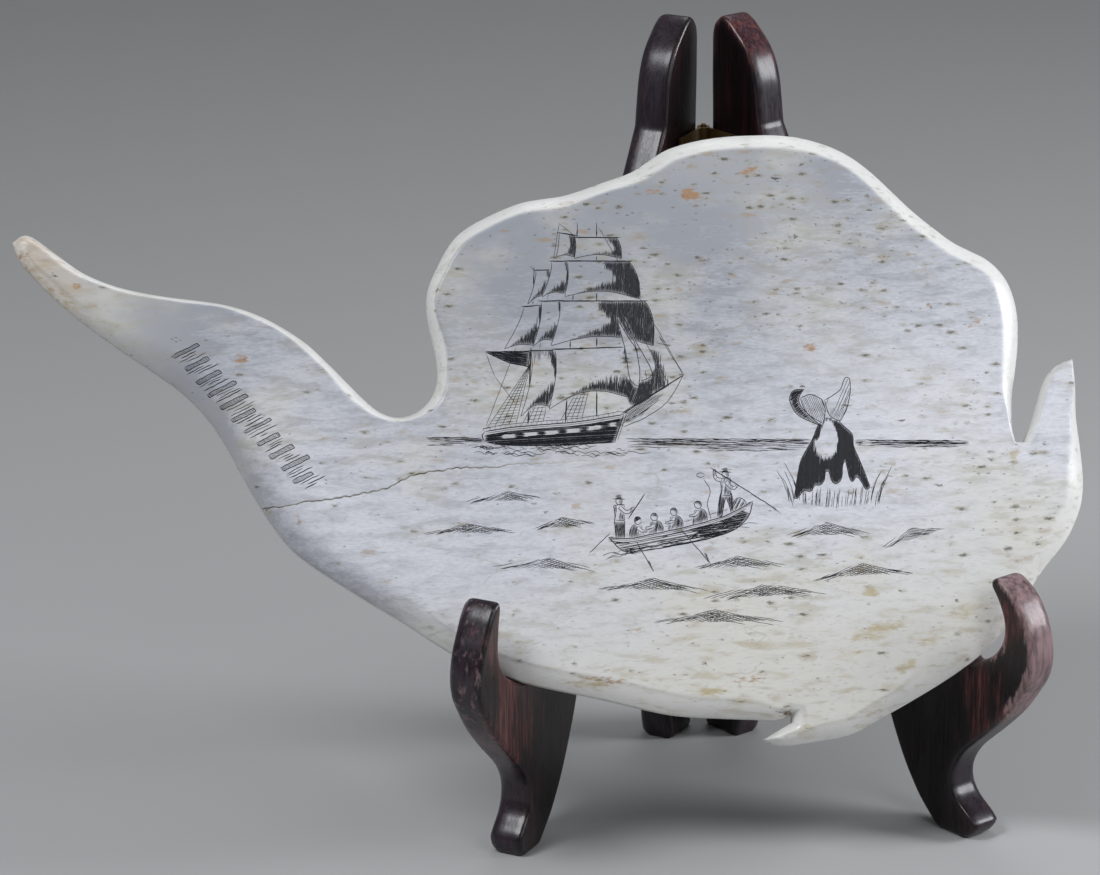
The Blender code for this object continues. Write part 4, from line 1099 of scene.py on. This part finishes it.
def draw_hatched_band(d, cells, pitch, height):
    """A row of parallel slanting strokes, none of them a letter: in each cell one broad stroke that
    is filled with hatching, and thin ones beside it, all of different lengths."""
    for cell in range(cells):
        left, tall = cell * pitch, height * d.chance.uniform(0.66, 1.0)
        low = d.chance.uniform(-0.3, 0.3)
        slant, broad = 0.30 * tall, d.chance.uniform(0.75, 1.25)
        bar = [(left, low), (left + broad, low), (left + broad + slant, low + tall),
               (left + slant, low + tall)]
        d.fill(bar, 10, 0.26, 0.20)
        d.line(bar + bar[:1], 0.28, 0.06)
        for shift in np.cumsum(d.chance.uniform(0.55, 0.95, 3)):
            start, end = d.chance.uniform(-0.05, 0.30) * height, d.chance.uniform(0.55, 1.0) * height
            d.line([(left + broad + shift + 0.30 * start, start), (left + broad + shift + 0.30 * end, end)],
                   d.chance.uniform(0.18, 0.34), 0.06)
    after = cells * pitch
    for along, high in ((-3.0, 3.9), (-2.2, 3.2), (-3.4, 2.9), (-1.8, 4.2), (after + 1.0, 6.2),
                        (after + 1.7, 5.6)):
        d.line([(along, high), (along + 0.6, high + 0.3)], 0.34, LOOSE)


def put_strokes(name, drawing, shape, settings):
    """The strokes as one piece. Each is a low ridge of triangular section carried along its line:
    two edges sunk just under the bone's face at half its width to each side, and a crest that
    stands over it. Its width grows from a small share at an end to the whole within the taper."""
    lines = [points * MM for points, _ in drawing.strokes]
    counts = np.array([len(points) for points in lines])
    points = np.concatenate(lines)
    stroke = np.repeat(np.arange(len(lines)), counts)
    first = np.cumsum(counts) - counts
    index = np.arange(len(points))
    last = (first + counts - 1)[stroke]
    behind, ahead = np.maximum(index - 1, first[stroke]), np.minimum(index + 1, last)
    tangent = unit(points[ahead] - points[behind])
    sideways = np.stack([-tangent[:, 1], tangent[:, 0]], axis=1)
    step = np.linalg.norm(points - points[behind], axis=1)
    along = np.cumsum(step)
    to_end = np.minimum(along - along[first[stroke]], along[last] - along)
    width = np.array([w for _, w in drawing.strokes])[stroke] * MM * settings.stroke_width
    grown = np.clip(to_end / (STROKE_TAPER * MM), 0, 1)**0.7
    half = 0.5 * width * (STROKE_END_SHARE + (1 - STROKE_END_SHARE) * grown)
    outline = smoothed(shape.slab.line, 4 * RIM_STEP)

    def height(flat):
        return shape.front(flat, distance_to_line(outline, flat))

    left, right = points + sideways * half[:, None], points - sideways * half[:, None]
    lift = settings.stroke_height
    sunk = STROKE_SUNK_SHARE * lift
    places = np.vstack([shape.slab.world(left, height(left) - sunk),
                        shape.slab.world(right, height(right) - sunk),
                        shape.slab.world(points, height(points) + lift)])
    count = len(points)
    a = index[index != last]
    b = a + 1
    quads = np.concatenate([np.stack([a, b, b + 2 * count, a + 2 * count], axis=1),
                            np.stack([a + 2 * count, b + 2 * count, b + count, a + count], axis=1),
                            np.stack([a + count, b + count, b, a], axis=1)])
    ends = first + counts - 1
    caps = np.concatenate([np.stack([first, first + 2 * count, first + count], axis=1),
                           np.stack([ends, ends + count, ends + 2 * count], axis=1)])
    # The left edge lies to the left of the walk, so seen from above these quads turn clockwise
    faces = quads[:, ::-1].tolist() + caps[:, ::-1].tolist()
    chance = np.random.default_rng(5).uniform(0, 1, len(lines))[stroke]
    piece = put_mesh(name, places, faces, {"pressure": np.tile(chance, 3)}, smooth=False)
    piece.data.materials.append(ink_material(settings))
    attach(piece, "root")
    return piece


def feed(tree, made, inputs):
    """Set a node's inputs. Each is a number, a colour, or the socket that feeds it."""
    for key, value in inputs.items():
        if isinstance(value, bpy.types.NodeSocket):
            tree.links.new(value, made.inputs[key])
        else:
            made.inputs[key].default_value = value


def node(tree, kind, inputs=(), **settings):
    """Add a node to a tree, with these inputs."""
    made = tree.nodes.new(kind)
    for key, value in settings.items():
        setattr(made, key, value)
    feed(tree, made, dict(inputs))
    made.location = (190 * (len(tree.nodes) % 9), -230 * (len(tree.nodes) // 9))
    return made


def bump(tree, shader, height, strength, distance):
    """Shade the surface as if it rose by the height times the distance, in metres."""
    made = node(tree, "ShaderNodeBump", {"Height": height, "Strength": strength, "Distance": distance})
    feed(tree, shader, {"Normal": made.outputs[0]})


def maths(tree, operation, first, second=0.0, clamp=False):
    return node(tree, "ShaderNodeMath", {0: first, 1: second}, operation=operation,
                use_clamp=clamp).outputs[0]


def times(tree, first, second):
    return maths(tree, "MULTIPLY", first, second)


def plus(tree, first, second, clamp=False):
    return maths(tree, "ADD", first, second, clamp)


def blend_colour(tree, share, first, second):
    """The first colour where share is 0 and the second where it is 1."""
    return node(tree, "ShaderNodeMix", {MIX_SHARE: share, MIX_FIRST: first, MIX_SECOND: second},
                data_type="RGBA", clamp_factor=True).outputs[MIX_RESULT]


def noise(tree, place, scale, detail, roughness=0.5, bend=0.0):
    """Uneven noise from 0 to 1."""
    return node(tree, "ShaderNodeTexNoise", {
        "Vector": place, "Scale": scale, "Detail": detail, "Roughness": roughness,
        "Distortion": bend}).outputs["Fac"]


def stepped(tree, value, start, end, low=0.0, high=1.0):
    """low before start, high after end, and smooth between them."""
    return node(tree, "ShaderNodeMapRange", {0: value, 1: start, 2: end, 3: low, 4: high},
                interpolation_type="SMOOTHSTEP").outputs[0]


def vertex_number(tree, name):
    return node(tree, "ShaderNodeAttribute", attribute_name=name).outputs["Fac"]


def node_group(name, outputs, fill, **numbers):
    """The node group of this name, which is made the first time. Its inputs are Place and these
    numbers with their usual values. fill(group, given) adds its nodes and returns the sockets that
    feed its outputs."""
    if name in bpy.data.node_groups:
        return bpy.data.node_groups[name]
    group = bpy.data.node_groups.new(name, "ShaderNodeTree")
    group.interface.new_socket("Place", in_out="INPUT", socket_type="NodeSocketVector")
    for title, usual in numbers.items():
        socket = group.interface.new_socket(title, in_out="INPUT", socket_type="NodeSocketFloat")
        socket.default_value = usual
    for title in outputs:
        group.interface.new_socket(title, in_out="OUTPUT", socket_type="NodeSocketFloat")
    given, out = node(group, "NodeGroupInput").outputs, node(group, "NodeGroupOutput")
    for title, socket in zip(outputs, fill(group, given)):
        group.links.new(socket, out.inputs[title])
    return group


def drawn_out(group, given):
    """The group's Place with its scale along X and across it."""
    scales = node(group, "ShaderNodeCombineXYZ", {0: given["Along"], 1: given["Across"], 2: given["Across"]})
    return node(group, "ShaderNodeVectorMath", {0: given["Place"], 1: scales.outputs[0]},
                operation="MULTIPLY").outputs[0]


def streaks_group():
    """Noise drawn out along X: Along and Across are its scales, Detail its fineness."""
    def fill(group, given):
        return [noise(group, drawn_out(group, given), 1.0, given["Detail"], 0.55, given["Bend"])]

    return node_group("Streaks", ("Value",), fill, Along=60.0, Across=600.0, Detail=3.0, Bend=0.0)


def specks_group():
    """Small dark places drawn out along X, in a share of the cells of an even scatter, fewer where
    Crowd is low: a ragged core and a softer halo round it."""
    def fill(group, given):
        drawn = drawn_out(group, given)
        rough = node(group, "ShaderNodeTexNoise", {"Vector": drawn, "Scale": 2.6, "Detail": 3.0,
                                                   "Roughness": 0.65})
        moved = node(group, "ShaderNodeVectorMath", {0: rough.outputs["Color"], 1: (0.5, 0.5, 0.5)},
                     operation="SUBTRACT")
        place = node(group, "ShaderNodeVectorMath", {0: drawn, 1: moved.outputs[0]}, operation="ADD")
        cells = node(group, "ShaderNodeTexVoronoi", {"Vector": place.outputs[0], "Scale": 1.0,
                                                     "Randomness": 1.0})
        chance = node(group, "ShaderNodeSeparateColor", {0: cells.outputs["Color"]})
        limit = times(group, given["Share"], given["Crowd"])
        present = maths(group, "LESS_THAN", chance.outputs[0], limit)
        size = times(group, given["Size"], stepped(group, chance.outputs[1], 0.0, 1.0, 0.40, 1.50))
        share = maths(group, "DIVIDE", cells.outputs["Distance"], size)
        return [times(group, present, stepped(group, share, 0.25, 1.1, 1.0, 0.0)),
                times(group, present, stepped(group, share, 0.6, 2.2, 1.0, 0.0))]

    return node_group("Specks", ("Core", "Halo"), fill, Along=90.0, Across=260.0, Share=0.3, Size=0.3,
                      Crowd=1.0)


def hairlines_group():
    """Fine wavy lines: where one noise passes through its middle value, kept where another is high."""
    def fill(group, given):
        drawn = drawn_out(group, given)
        off = maths(group, "SUBTRACT", noise(group, drawn, 1.0, 4.0, 0.50, 0.2), 0.5)
        off = maths(group, "DIVIDE", maths(group, "ABSOLUTE", off), given["Width"])
        line = stepped(group, off, 0.15, 1.0, 1.0, 0.0)
        limit = maths(group, "SUBTRACT", 0.78, times(group, given["Share"], 0.5))
        kept = maths(group, "SUBTRACT", noise(group, drawn, 1.7, 2.0), limit)
        return [times(group, line, stepped(group, kept, -0.04, 0.04))]

    return node_group("Hairlines", ("Mask",), fill, Along=22.0, Across=70.0, Width=0.01, Share=0.3)


def broken_group():
    """A soft mark with ragged edges: noise drawn out along X eats into it where it is weak."""
    def fill(group, given):
        bite = maths(group, "SUBTRACT", noise(group, drawn_out(group, given), 1.0, 5.0, 0.62), 0.5)
        wanted = plus(group, given["Mark"], times(group, bite, given["Ragged"]))
        return [times(group, stepped(group, wanted, 0.25, 0.62), stepped(group, given["Mark"], 0.04, 0.22))]

    return node_group("Broken edge", ("Mask",), fill, Along=500.0, Across=1400.0, Mark=0.0, Ragged=0.6)


def new_material(name):
    """A material with its Principled shader, ready for its inputs."""
    material = bpy.data.materials.new(name)
    material.use_nodes = True
    tree = material.node_tree
    tree.nodes.clear()
    shader = node(tree, "ShaderNodeBsdfPrincipled")
    node(tree, "ShaderNodeOutputMaterial", {"Surface": shader.outputs[0]})
    return material, tree, shader


def object_place(tree):
    return node(tree, "ShaderNodeTexCoord").outputs["Object"]


def slab_place(tree, slab):
    """Object coordinates turned to a slab's own axes, its own zero at zero."""
    return node(tree, "ShaderNodeMapping", {"Vector": object_place(tree), "Rotation": slab.turned(),
                                            "Location": slab.shift()}, vector_type="POINT").outputs[0]


def from_group(tree, group, **inputs):
    """Place a node group in a tree, with these values or sockets on its inputs."""
    return node(tree, "ShaderNodeGroup", inputs, node_tree=group).outputs


def streak(tree, place, along, across, detail=3.0, bend=0.0):
    """Streaks that are drawn out along X of this place."""
    return from_group(tree, streaks_group(), Place=place, Along=along, Across=across, Detail=detail,
                      Bend=bend)["Value"]


def broken(tree, place, name, along, across, ragged):
    """The mark that a vertex number gives, with ragged edges."""
    return from_group(tree, broken_group(), Mark=vertex_number(tree, name), Place=place, Along=along,
                      Across=across, Ragged=ragged)["Mask"]


def bone_material(settings, slab):
    """Polished bone: cool white with blue grey grain along it, warmer clouds, a clear white rim,
    crowds of small pores, ochre, umber and pale yellow stains, fine olive lines and a dark crack."""
    material, tree, shader = new_material("polished_bone")
    place = slab_place(tree, slab)

    def layer(colour, mask, strength, other):
        return blend_colour(tree, times(tree, mask, strength), colour, other)

    fine = streak(tree, place, 560.0, 2300.0)
    middle = streak(tree, place, 110.0, 420.0, 6.0, 0.3)
    cloud = streak(tree, place, 34.0, 60.0, 4.0)
    fleck = streak(tree, place, 430.0, 1250.0, 4.0, 0.3)
    rim, warm = vertex_number(tree, "rim"), vertex_number(tree, "warm")

    # Grain, with painted light and shade from the shade numbers, warm clouds and the clear rim
    grain_and_painted_shade = plus(tree, stepped(tree, fine, 0.30, 0.72, 0.0, 0.24),
                stepped(tree, middle, 0.38, 0.72, 0.0, 0.34))
    # shade adds painted light and shade: greyer toward the top and on the arm's underside, lighter at the
    # right side
    grain_and_painted_shade = plus(tree, grain_and_painted_shade, times(tree, vertex_number(tree, "shade"), 1.05))
    colour = blend_colour(tree, grain_and_painted_shade, settings.face, settings.grain)
    warmer = plus(tree, warm, stepped(tree, cloud, 0.46, 0.70, 0.0, 0.46), clamp=True)
    colour = layer(colour, warmer, 0.75, settings.cream)
    colour = layer(colour, stepped(tree, rim, 0.02, 0.30), 0.85, settings.rim)
    still = stepped(tree, rim, 0.05, 0.45, 1.0, 0.35)
    colour = layer(colour, times(tree, stepped(tree, fleck, 0.56, 0.70), still), 0.36, settings.grain)

    # Yellow streaks, pale patches, the tanned tip and hairlines
    yellow = times(tree, stepped(tree, middle, 0.46, 0.64), stepped(tree, cloud, 0.44, 0.62, 0.15, 1.0))
    colour = layer(colour, yellow, 0.19, settings.olive)
    low = times(tree, warm, stepped(tree, middle, 0.54, 0.68))
    colour = layer(colour, low, 0.34, settings.straw)
    uneven = times(tree, stepped(tree, middle, 0.36, 0.62, 0.25, 1.0),
                   stepped(tree, fleck, 0.34, 0.62, 0.5, 1.0))
    pale = times(tree, broken(tree, place, "pale", 330.0, 900.0, 1.3), uneven)
    colour = layer(colour, pale, 0.85, settings.straw)
    tan = times(tree, vertex_number(tree, "tip"), stepped(tree, middle, 0.30, 0.62, 0.4, 1.0))
    colour = layer(colour, tan, 0.38, settings.ochre)
    hair = from_group(tree, hairlines_group(), Place=place, Along=20.0, Across=64.0, Width=0.007, Share=0.40)
    colour = layer(colour, hair["Mask"], 0.24, settings.olive)

    # Pores of three sizes, stains and the crack
    crowd = times(tree, stepped(tree, cloud, 0.38, 0.64, 0.35, 2.0), vertex_number(tree, "crowd"))
    patch, pore, dot = (
        from_group(tree, specks_group(), Place=place, Along=along, Across=across, Share=share, Size=0.34,
                   Crowd=crowd)
        for along, across, share in ((210.0, 600.0, settings.pores), (360.0, 950.0, settings.pores),
                                     (800.0, 1800.0, 0.07)))
    colour = layer(colour, times(tree, patch["Halo"], still), 0.20, settings.olive)
    colour = layer(colour, times(tree, patch["Core"], still), 0.34, settings.ochre)
    colour = layer(colour, times(tree, pore["Halo"], still), 0.40, settings.olive)
    colour = layer(colour, broken(tree, place, "ochre", 500.0, 1400.0, 1.5), 0.80, settings.ochre)
    umber = broken(tree, place, "umber", 900.0, 1900.0, 1.7)
    core = maths(tree, "MAXIMUM", times(tree, pore["Core"], 0.74), times(tree, dot["Core"], 0.55))
    core = maths(tree, "MAXIMUM", times(tree, core, still), times(tree, umber, 0.85))
    colour = blend_colour(tree, core, colour, settings.umber)
    crack = vertex_number(tree, "crack")
    colour = layer(colour, stepped(tree, crack, 0.08, 0.60), 0.42, settings.olive)
    gap = times(tree, stepped(tree, crack, 0.40, 0.80), stepped(tree, fleck, 0.36, 0.58, 0.55, 1.0))
    colour = layer(colour, gap, 0.95, settings.umber)

    rough = plus(tree, stepped(tree, cloud, 0.3, 0.7, 0.36, 0.46), times(tree, core, 0.25))
    height = maths(tree, "SUBTRACT", times(tree, fine, 0.30), core)
    bump(tree, shader, height, 0.35, 0.00008)
    feed(tree, shader, {"Base Color": colour, "Roughness": rough, "Coat Weight": 0.20,
                        "Coat Roughness": 0.22, "IOR": 1.52})
    return material


def ink_material(settings):
    """Blue-black ink, thinner and greyer in some strokes and where it is rubbed."""
    if "engraving_ink" in bpy.data.materials:
        return bpy.data.materials["engraving_ink"]
    material, tree, shader = new_material("engraving_ink")
    here = object_place(tree)
    wear = noise(tree, here, 900.0, 4.0)
    share = plus(tree, stepped(tree, wear, 0.52, 0.78, 0.0, 0.8),
                 stepped(tree, vertex_number(tree, "pressure"), 0.6, 1.0, 0.0, 0.3))
    feed(tree, shader, {"Base Color": blend_colour(tree, share, settings.ink, settings.worn_ink),
                        "Roughness": stepped(tree, wear, 0.3, 0.7, 0.45, 0.60),
                        "Specular IOR Level": 0.25})
    return material


def wood_material(name, settings, slab):
    """Dark rosewood: near-black with red grain that runs up the board, rubbed lighter in the crook. The
    hook's front has pinkish grey that is partly wear and partly painted sheen. The right board has a red top
    that is partly painted highlight. The edges have a purple tint that is painted sheen. All of it lies under
    a polish that has worn unevenly."""
    material, tree, shader = new_material(name)
    place = slab_place(tree, slab)
    turned = node(tree, "ShaderNodeMapping", {"Vector": place, "Rotation": (0, 0, math.pi / 2)})
    upright = turned.outputs[0]
    broad = streak(tree, upright, 16.0, 210.0, 5.0, 0.9)
    fine = streak(tree, upright, 70.0, 1700.0, 3.0, 0.2)
    cloud = streak(tree, upright, 40.0, 70.0)
    grain = times(tree, stepped(tree, broad, 0.40, 0.72), stepped(tree, fine, 0.35, 0.65, 0.35, 1.0))
    grain = times(tree, grain, stepped(tree, cloud, 0.35, 0.65, 0.25, 1.0))
    colour = blend_colour(tree, grain, settings.wood, settings.grain)
    # Red near the crook, on the hook's tip and on the top. On the right board's top it is partly painted
    # highlight
    rubbed = broken(tree, upright, "rubbed", 70.0, 240.0, 1.3)
    lines = stepped(tree, streak(tree, upright, 90.0, 1100.0, 5.0, 0.6), 0.40, 0.66)
    share = times(tree, rubbed, plus(tree, times(tree, lines, 0.62), 0.10))
    colour = blend_colour(tree, share, colour, settings.worn)
    # Pinkish grey on the hook's front: partly wear, partly painted sheen
    fleck = stepped(tree, streak(tree, upright, 130.0, 650.0, 5.0), 0.30, 0.66, 0.30, 1.0)
    scuff_and_sheen = times(tree, broken(tree, upright, "scuffed", 220.0, 700.0, 1.5), fleck)
    colour = blend_colour(tree, times(tree, scuff_and_sheen, 0.80), colour, settings.scuffed)
    # Painted sheen: a purple tint along the edges, in place of the lights' reflection on the polish
    painted_sheen = stepped(tree, streak(tree, upright, 90.0, 700.0, 4.0, 0.3), 0.30, 0.70, 0.35, 1.0)
    painted_sheen = times(tree, vertex_number(tree, "edge"), painted_sheen)
    colour = blend_colour(tree, times(tree, painted_sheen, 0.22), colour, settings.painted_sheen_tint)
    rough = plus(tree, stepped(tree, fine, 0.3, 0.7, 0.26, 0.40), times(tree, scuff_and_sheen, 0.16))
    polish = times(tree, stepped(tree, cloud, 0.35, 0.65, 0.3, 1.0), stepped(tree, fine, 0.3, 0.7, 0.1, 0.5))
    bump(tree, shader, fine, 0.25, 0.00010)
    feed(tree, shader, {"Base Color": colour, "Roughness": rough, "Coat Weight": polish,
                        "Coat Roughness": 0.16, "Specular IOR Level": 0.30})
    return material


def brass_material(settings):
    """Aged brass: dull, with brown tarnish in clouds and fine rubbed scratches."""
    if "aged_brass" in bpy.data.materials:
        return bpy.data.materials["aged_brass"]
    material, tree, shader = new_material("aged_brass")
    here = object_place(tree)
    cloud = noise(tree, here, 420.0, 6.0, 0.6)
    scratch = stepped(tree, streak(tree, here, 300.0, 5200.0), 0.35, 0.65)
    tarnished = stepped(tree, cloud, 0.34, 0.60, 0.25, 1.0)
    rough = plus(tree, stepped(tree, cloud, 0.35, 0.7, 0.34, 0.60), times(tree, scratch, 0.06))
    bump(tree, shader, scratch, 0.15, 0.00004)
    feed(tree, shader, {"Base Color": blend_colour(tree, tarnished, settings.brass, settings.tarnish),
                        "Roughness": rough, "Metallic": stepped(tree, cloud, 0.34, 0.66, 1.0, 0.60)})
    return material


def floor_material(settings):
    """Plain pale floor with a barely uneven tone."""
    material, tree, shader = new_material("pale_floor")
    here = object_place(tree)
    uneven = noise(tree, here, 3.0, 3.0)
    darker = tuple(0.96 * c for c in settings.floor[:3]) + (1.0,)
    feed(tree, shader, {"Base Color": blend_colour(tree, uneven, settings.floor, darker),
                        "Roughness": stepped(tree, uneven, 0.3, 0.7, 0.60, 0.70)})
    return material


def the_bone():
    """The bone's slab and shape, read from its node and the scene's settings."""
    slab = Slab("whale_bone", (0, -1, 0), BONE_ROLL)
    return BoneShape(slab, bpy.context.scene.scrimshaw_bone)


class SCRIMSHAW_OT_bone(Operator):
    """Make the slab of whale bone."""
    bl_idname = "scrimshaw.bone"
    bl_label = "Whale bone"

    def execute(self, context):
        settings = context.scene.scrimshaw_bone
        shape = the_bone()
        crack = evenly(shape.crack, 0.5 * MM)
        tangent = unit(np.gradient(crack, axis=0))
        side = np.stack([-tangent[:, 1], tangent[:, 0]], axis=1)
        rows = np.vstack([crack + side * offset * MM for offset in CRACK_ROWS])
        piece = put_slab("engraved_bone", shape.slab, shape.front, shape.back, shape.marks,
                         shape.rings, rows)
        piece.data.materials.append(bone_material(settings, shape.slab))
        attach(piece, "root")
        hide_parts("whale_bone")
        return {"FINISHED"}


class SCRIMSHAW_OT_ship(Operator):
    """Engrave the ship and the sea line."""
    bl_idname = "scrimshaw.ship"
    bl_label = "Ship and horizon"

    def execute(self, context):
        drawing = Drawing(11, *HORIZON_PLACE)
        draw_horizon(drawing)
        drawing.move(*WHALE_PLACE)
        drawing.hide(WHALE_STOCK)
        drawing.move(*SHIP_PLACE)
        draw_ship(drawing)
        put_strokes("engraved_ship", drawing, the_bone(), context.scene.scrimshaw_engraving)
        return {"FINISHED"}


class SCRIMSHAW_OT_boat(Operator):
    """Engrave the rowing boat and the whale."""
    bl_idname = "scrimshaw.boat"
    bl_label = "Boat and whale"

    def execute(self, context):
        settings = context.scene.scrimshaw_engraving
        drawing = Drawing(12, *BOAT_PLACE)
        draw_boat(drawing)
        put_strokes("engraved_boat", drawing, the_bone(), settings)
        drawing = Drawing(13, *WHALE_PLACE)
        draw_whale(drawing)
        put_strokes("engraved_whale", drawing, the_bone(), settings)
        return {"FINISHED"}


class SCRIMSHAW_OT_waves(Operator):
    """Engrave the waves and the hatched band along the arm."""
    bl_idname = "scrimshaw.waves"
    bl_label = "Waves and band"

    def execute(self, context):
        settings = context.scene.scrimshaw_engraving
        drawing = Drawing(14, (0, 0))
        for origin, width, height, turn in WAVES:
            drawing.move(origin, turn)
            draw_wave(drawing, width, height)
        put_strokes("engraved_waves", drawing, the_bone(), settings)
        drawing = Drawing(15, *BAND_PLACE)
        draw_hatched_band(drawing, cells=11, pitch=4.35, height=7.4)
        put_strokes("engraved_band", drawing, the_bone(), settings)
        return {"FINISHED"}


class SCRIMSHAW_OT_boards(Operator):
    """Make the two boards of the stand."""
    bl_idname = "scrimshaw.boards"
    bl_label = "Boards"

    def execute(self, context):
        settings = context.scene.scrimshaw_stand
        for side, toward, seed in (("left", (-1, 0, 0), 21), ("right", (1, 0, 0), 22)):
            shape = BoardShape(side, toward, seed, settings)
            slab = shape.slab
            piece = put_slab("rosewood_board_" + side, slab, shape.outer, shape.inner, shape.marks,
                             shape.rings)
            piece.data.materials.append(wood_material("dark_rosewood_" + side, settings, slab))
            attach(piece, "root")
            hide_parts("stand_" + side)
        return {"FINISHED"}


class SCRIMSHAW_OT_hinge(Operator):
    """Give the hinge its aged brass."""
    bl_idname = "scrimshaw.hinge"
    bl_label = "Hinge"

    def execute(self, context):
        settings = context.scene.scrimshaw_hinge
        for name in ("hinge_leaf_left", "hinge_leaf_right", "hinge_pin"):
            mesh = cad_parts[name].data
            mesh.materials.clear()
            mesh.materials.append(brass_material(settings))
        return {"FINISHED"}


def soft_light(name, place, power):
    """A large soft light that faces the object."""
    light = bpy.data.lights.new(name, "AREA")
    light.shape = "DISK"
    light.size = LIGHT_SIZE
    light.energy = power
    light.color = LIGHT_COLOUR
    lamp = bpy.data.objects.new(name, light)
    lamp.location = place
    lamp.rotation_euler = (Vector(LIGHT_TARGET) - Vector(place)).to_track_quat("-Z", "Y").to_euler()
    bpy.context.scene.collection.objects.link(lamp)


class SCRIMSHAW_OT_stage(Operator):
    """Make the floor, the light and the camera."""
    bl_idname = "scrimshaw.stage"
    bl_label = "Stage"

    def execute(self, context):
        settings = context.scene.scrimshaw_stage
        count = FLOOR_CELLS + 1
        steps = np.linspace(-0.5, 0.5, count) * settings.floor_size
        x, y = np.meshgrid(steps, steps)
        corner = np.arange(FLOOR_CELLS * count).reshape(FLOOR_CELLS, count)[:, :FLOOR_CELLS].ravel()
        faces = np.stack([corner, corner + 1, corner + count + 1, corner + count], axis=1).tolist()
        places = np.column_stack([x.ravel(), y.ravel(), np.zeros(count * count)])
        floor = put_mesh("pale_floor", places, faces)
        floor.data.materials.append(floor_material(settings))
        world = bpy.data.worlds.new("pale_room")
        world.use_nodes = True
        feed(world.node_tree, world.node_tree.nodes["Background"],
             {"Color": ROOM_COLOUR, "Strength": settings.room})
        context.scene.world = world
        context.scene.view_settings.view_transform = "Standard"
        for name, place in LIGHT_PLACES.items():
            soft_light(name + "_light", place, getattr(settings, name))
        camera = bpy.data.cameras.new("photo_camera")
        camera.lens = CAMERA_LENS
        camera.sensor_width = SENSOR_WIDTH
        camera.sensor_fit = "HORIZONTAL"
        camera.clip_end = 50.0
        viewer = bpy.data.objects.new("photo_camera", camera)
        viewer.location = CAMERA_PLACE
        gaze = Vector(CAMERA_TARGET) - Vector(CAMERA_PLACE)
        viewer.rotation_euler = gaze.to_track_quat("-Z", "Y").to_euler()
        context.scene.collection.objects.link(viewer)
        context.scene.camera = viewer
        return {"FINISHED"}


OPERATORS = (SCRIMSHAW_OT_bone, SCRIMSHAW_OT_ship, SCRIMSHAW_OT_boat, SCRIMSHAW_OT_waves,
             SCRIMSHAW_OT_boards, SCRIMSHAW_OT_hinge, SCRIMSHAW_OT_stage)
SETTINGS = (("scrimshaw_bone", BoneSettings), ("scrimshaw_engraving", EngravingSettings),
            ("scrimshaw_stand", StandSettings), ("scrimshaw_hinge", HingeSettings),
            ("scrimshaw_stage", StageSettings))


class SCRIMSHAW_PT_panel(Panel):
    """Lists the pieces, and the sizes and colours that they take."""
    bl_label = "Scrimshaw"
    bl_idname = "SCRIMSHAW_PT_panel"
    bl_space_type = "VIEW_3D"
    bl_region_type = "UI"
    bl_category = "Scrimshaw"

    def draw(self, context):
        for operator in OPERATORS:
            self.layout.operator(operator.bl_idname)
        for name, kind in SETTINGS:
            box = self.layout.box()
            box.label(text=kind.__name__.replace("Settings", ""))
            for key in kind.__annotations__:
                box.prop(getattr(context.scene, name), key)


def register():
    for name, kind in SETTINGS:
        bpy.utils.register_class(kind)
        setattr(bpy.types.Scene, name, PointerProperty(type=kind))
    for kind in OPERATORS + (SCRIMSHAW_PT_panel,):
        bpy.utils.register_class(kind)


def unregister():
    for kind in (SCRIMSHAW_PT_panel,) + OPERATORS[::-1]:
        bpy.utils.unregister_class(kind)
    for name, kind in SETTINGS[::-1]:
        delattr(bpy.types.Scene, name)
        bpy.utils.unregister_class(kind)


def main():
    register()
    for operator in OPERATORS:
        group, name = operator.bl_idname.split(".")
        getattr(getattr(bpy.ops, group), name)()


if __name__ == "__main__":
    main()
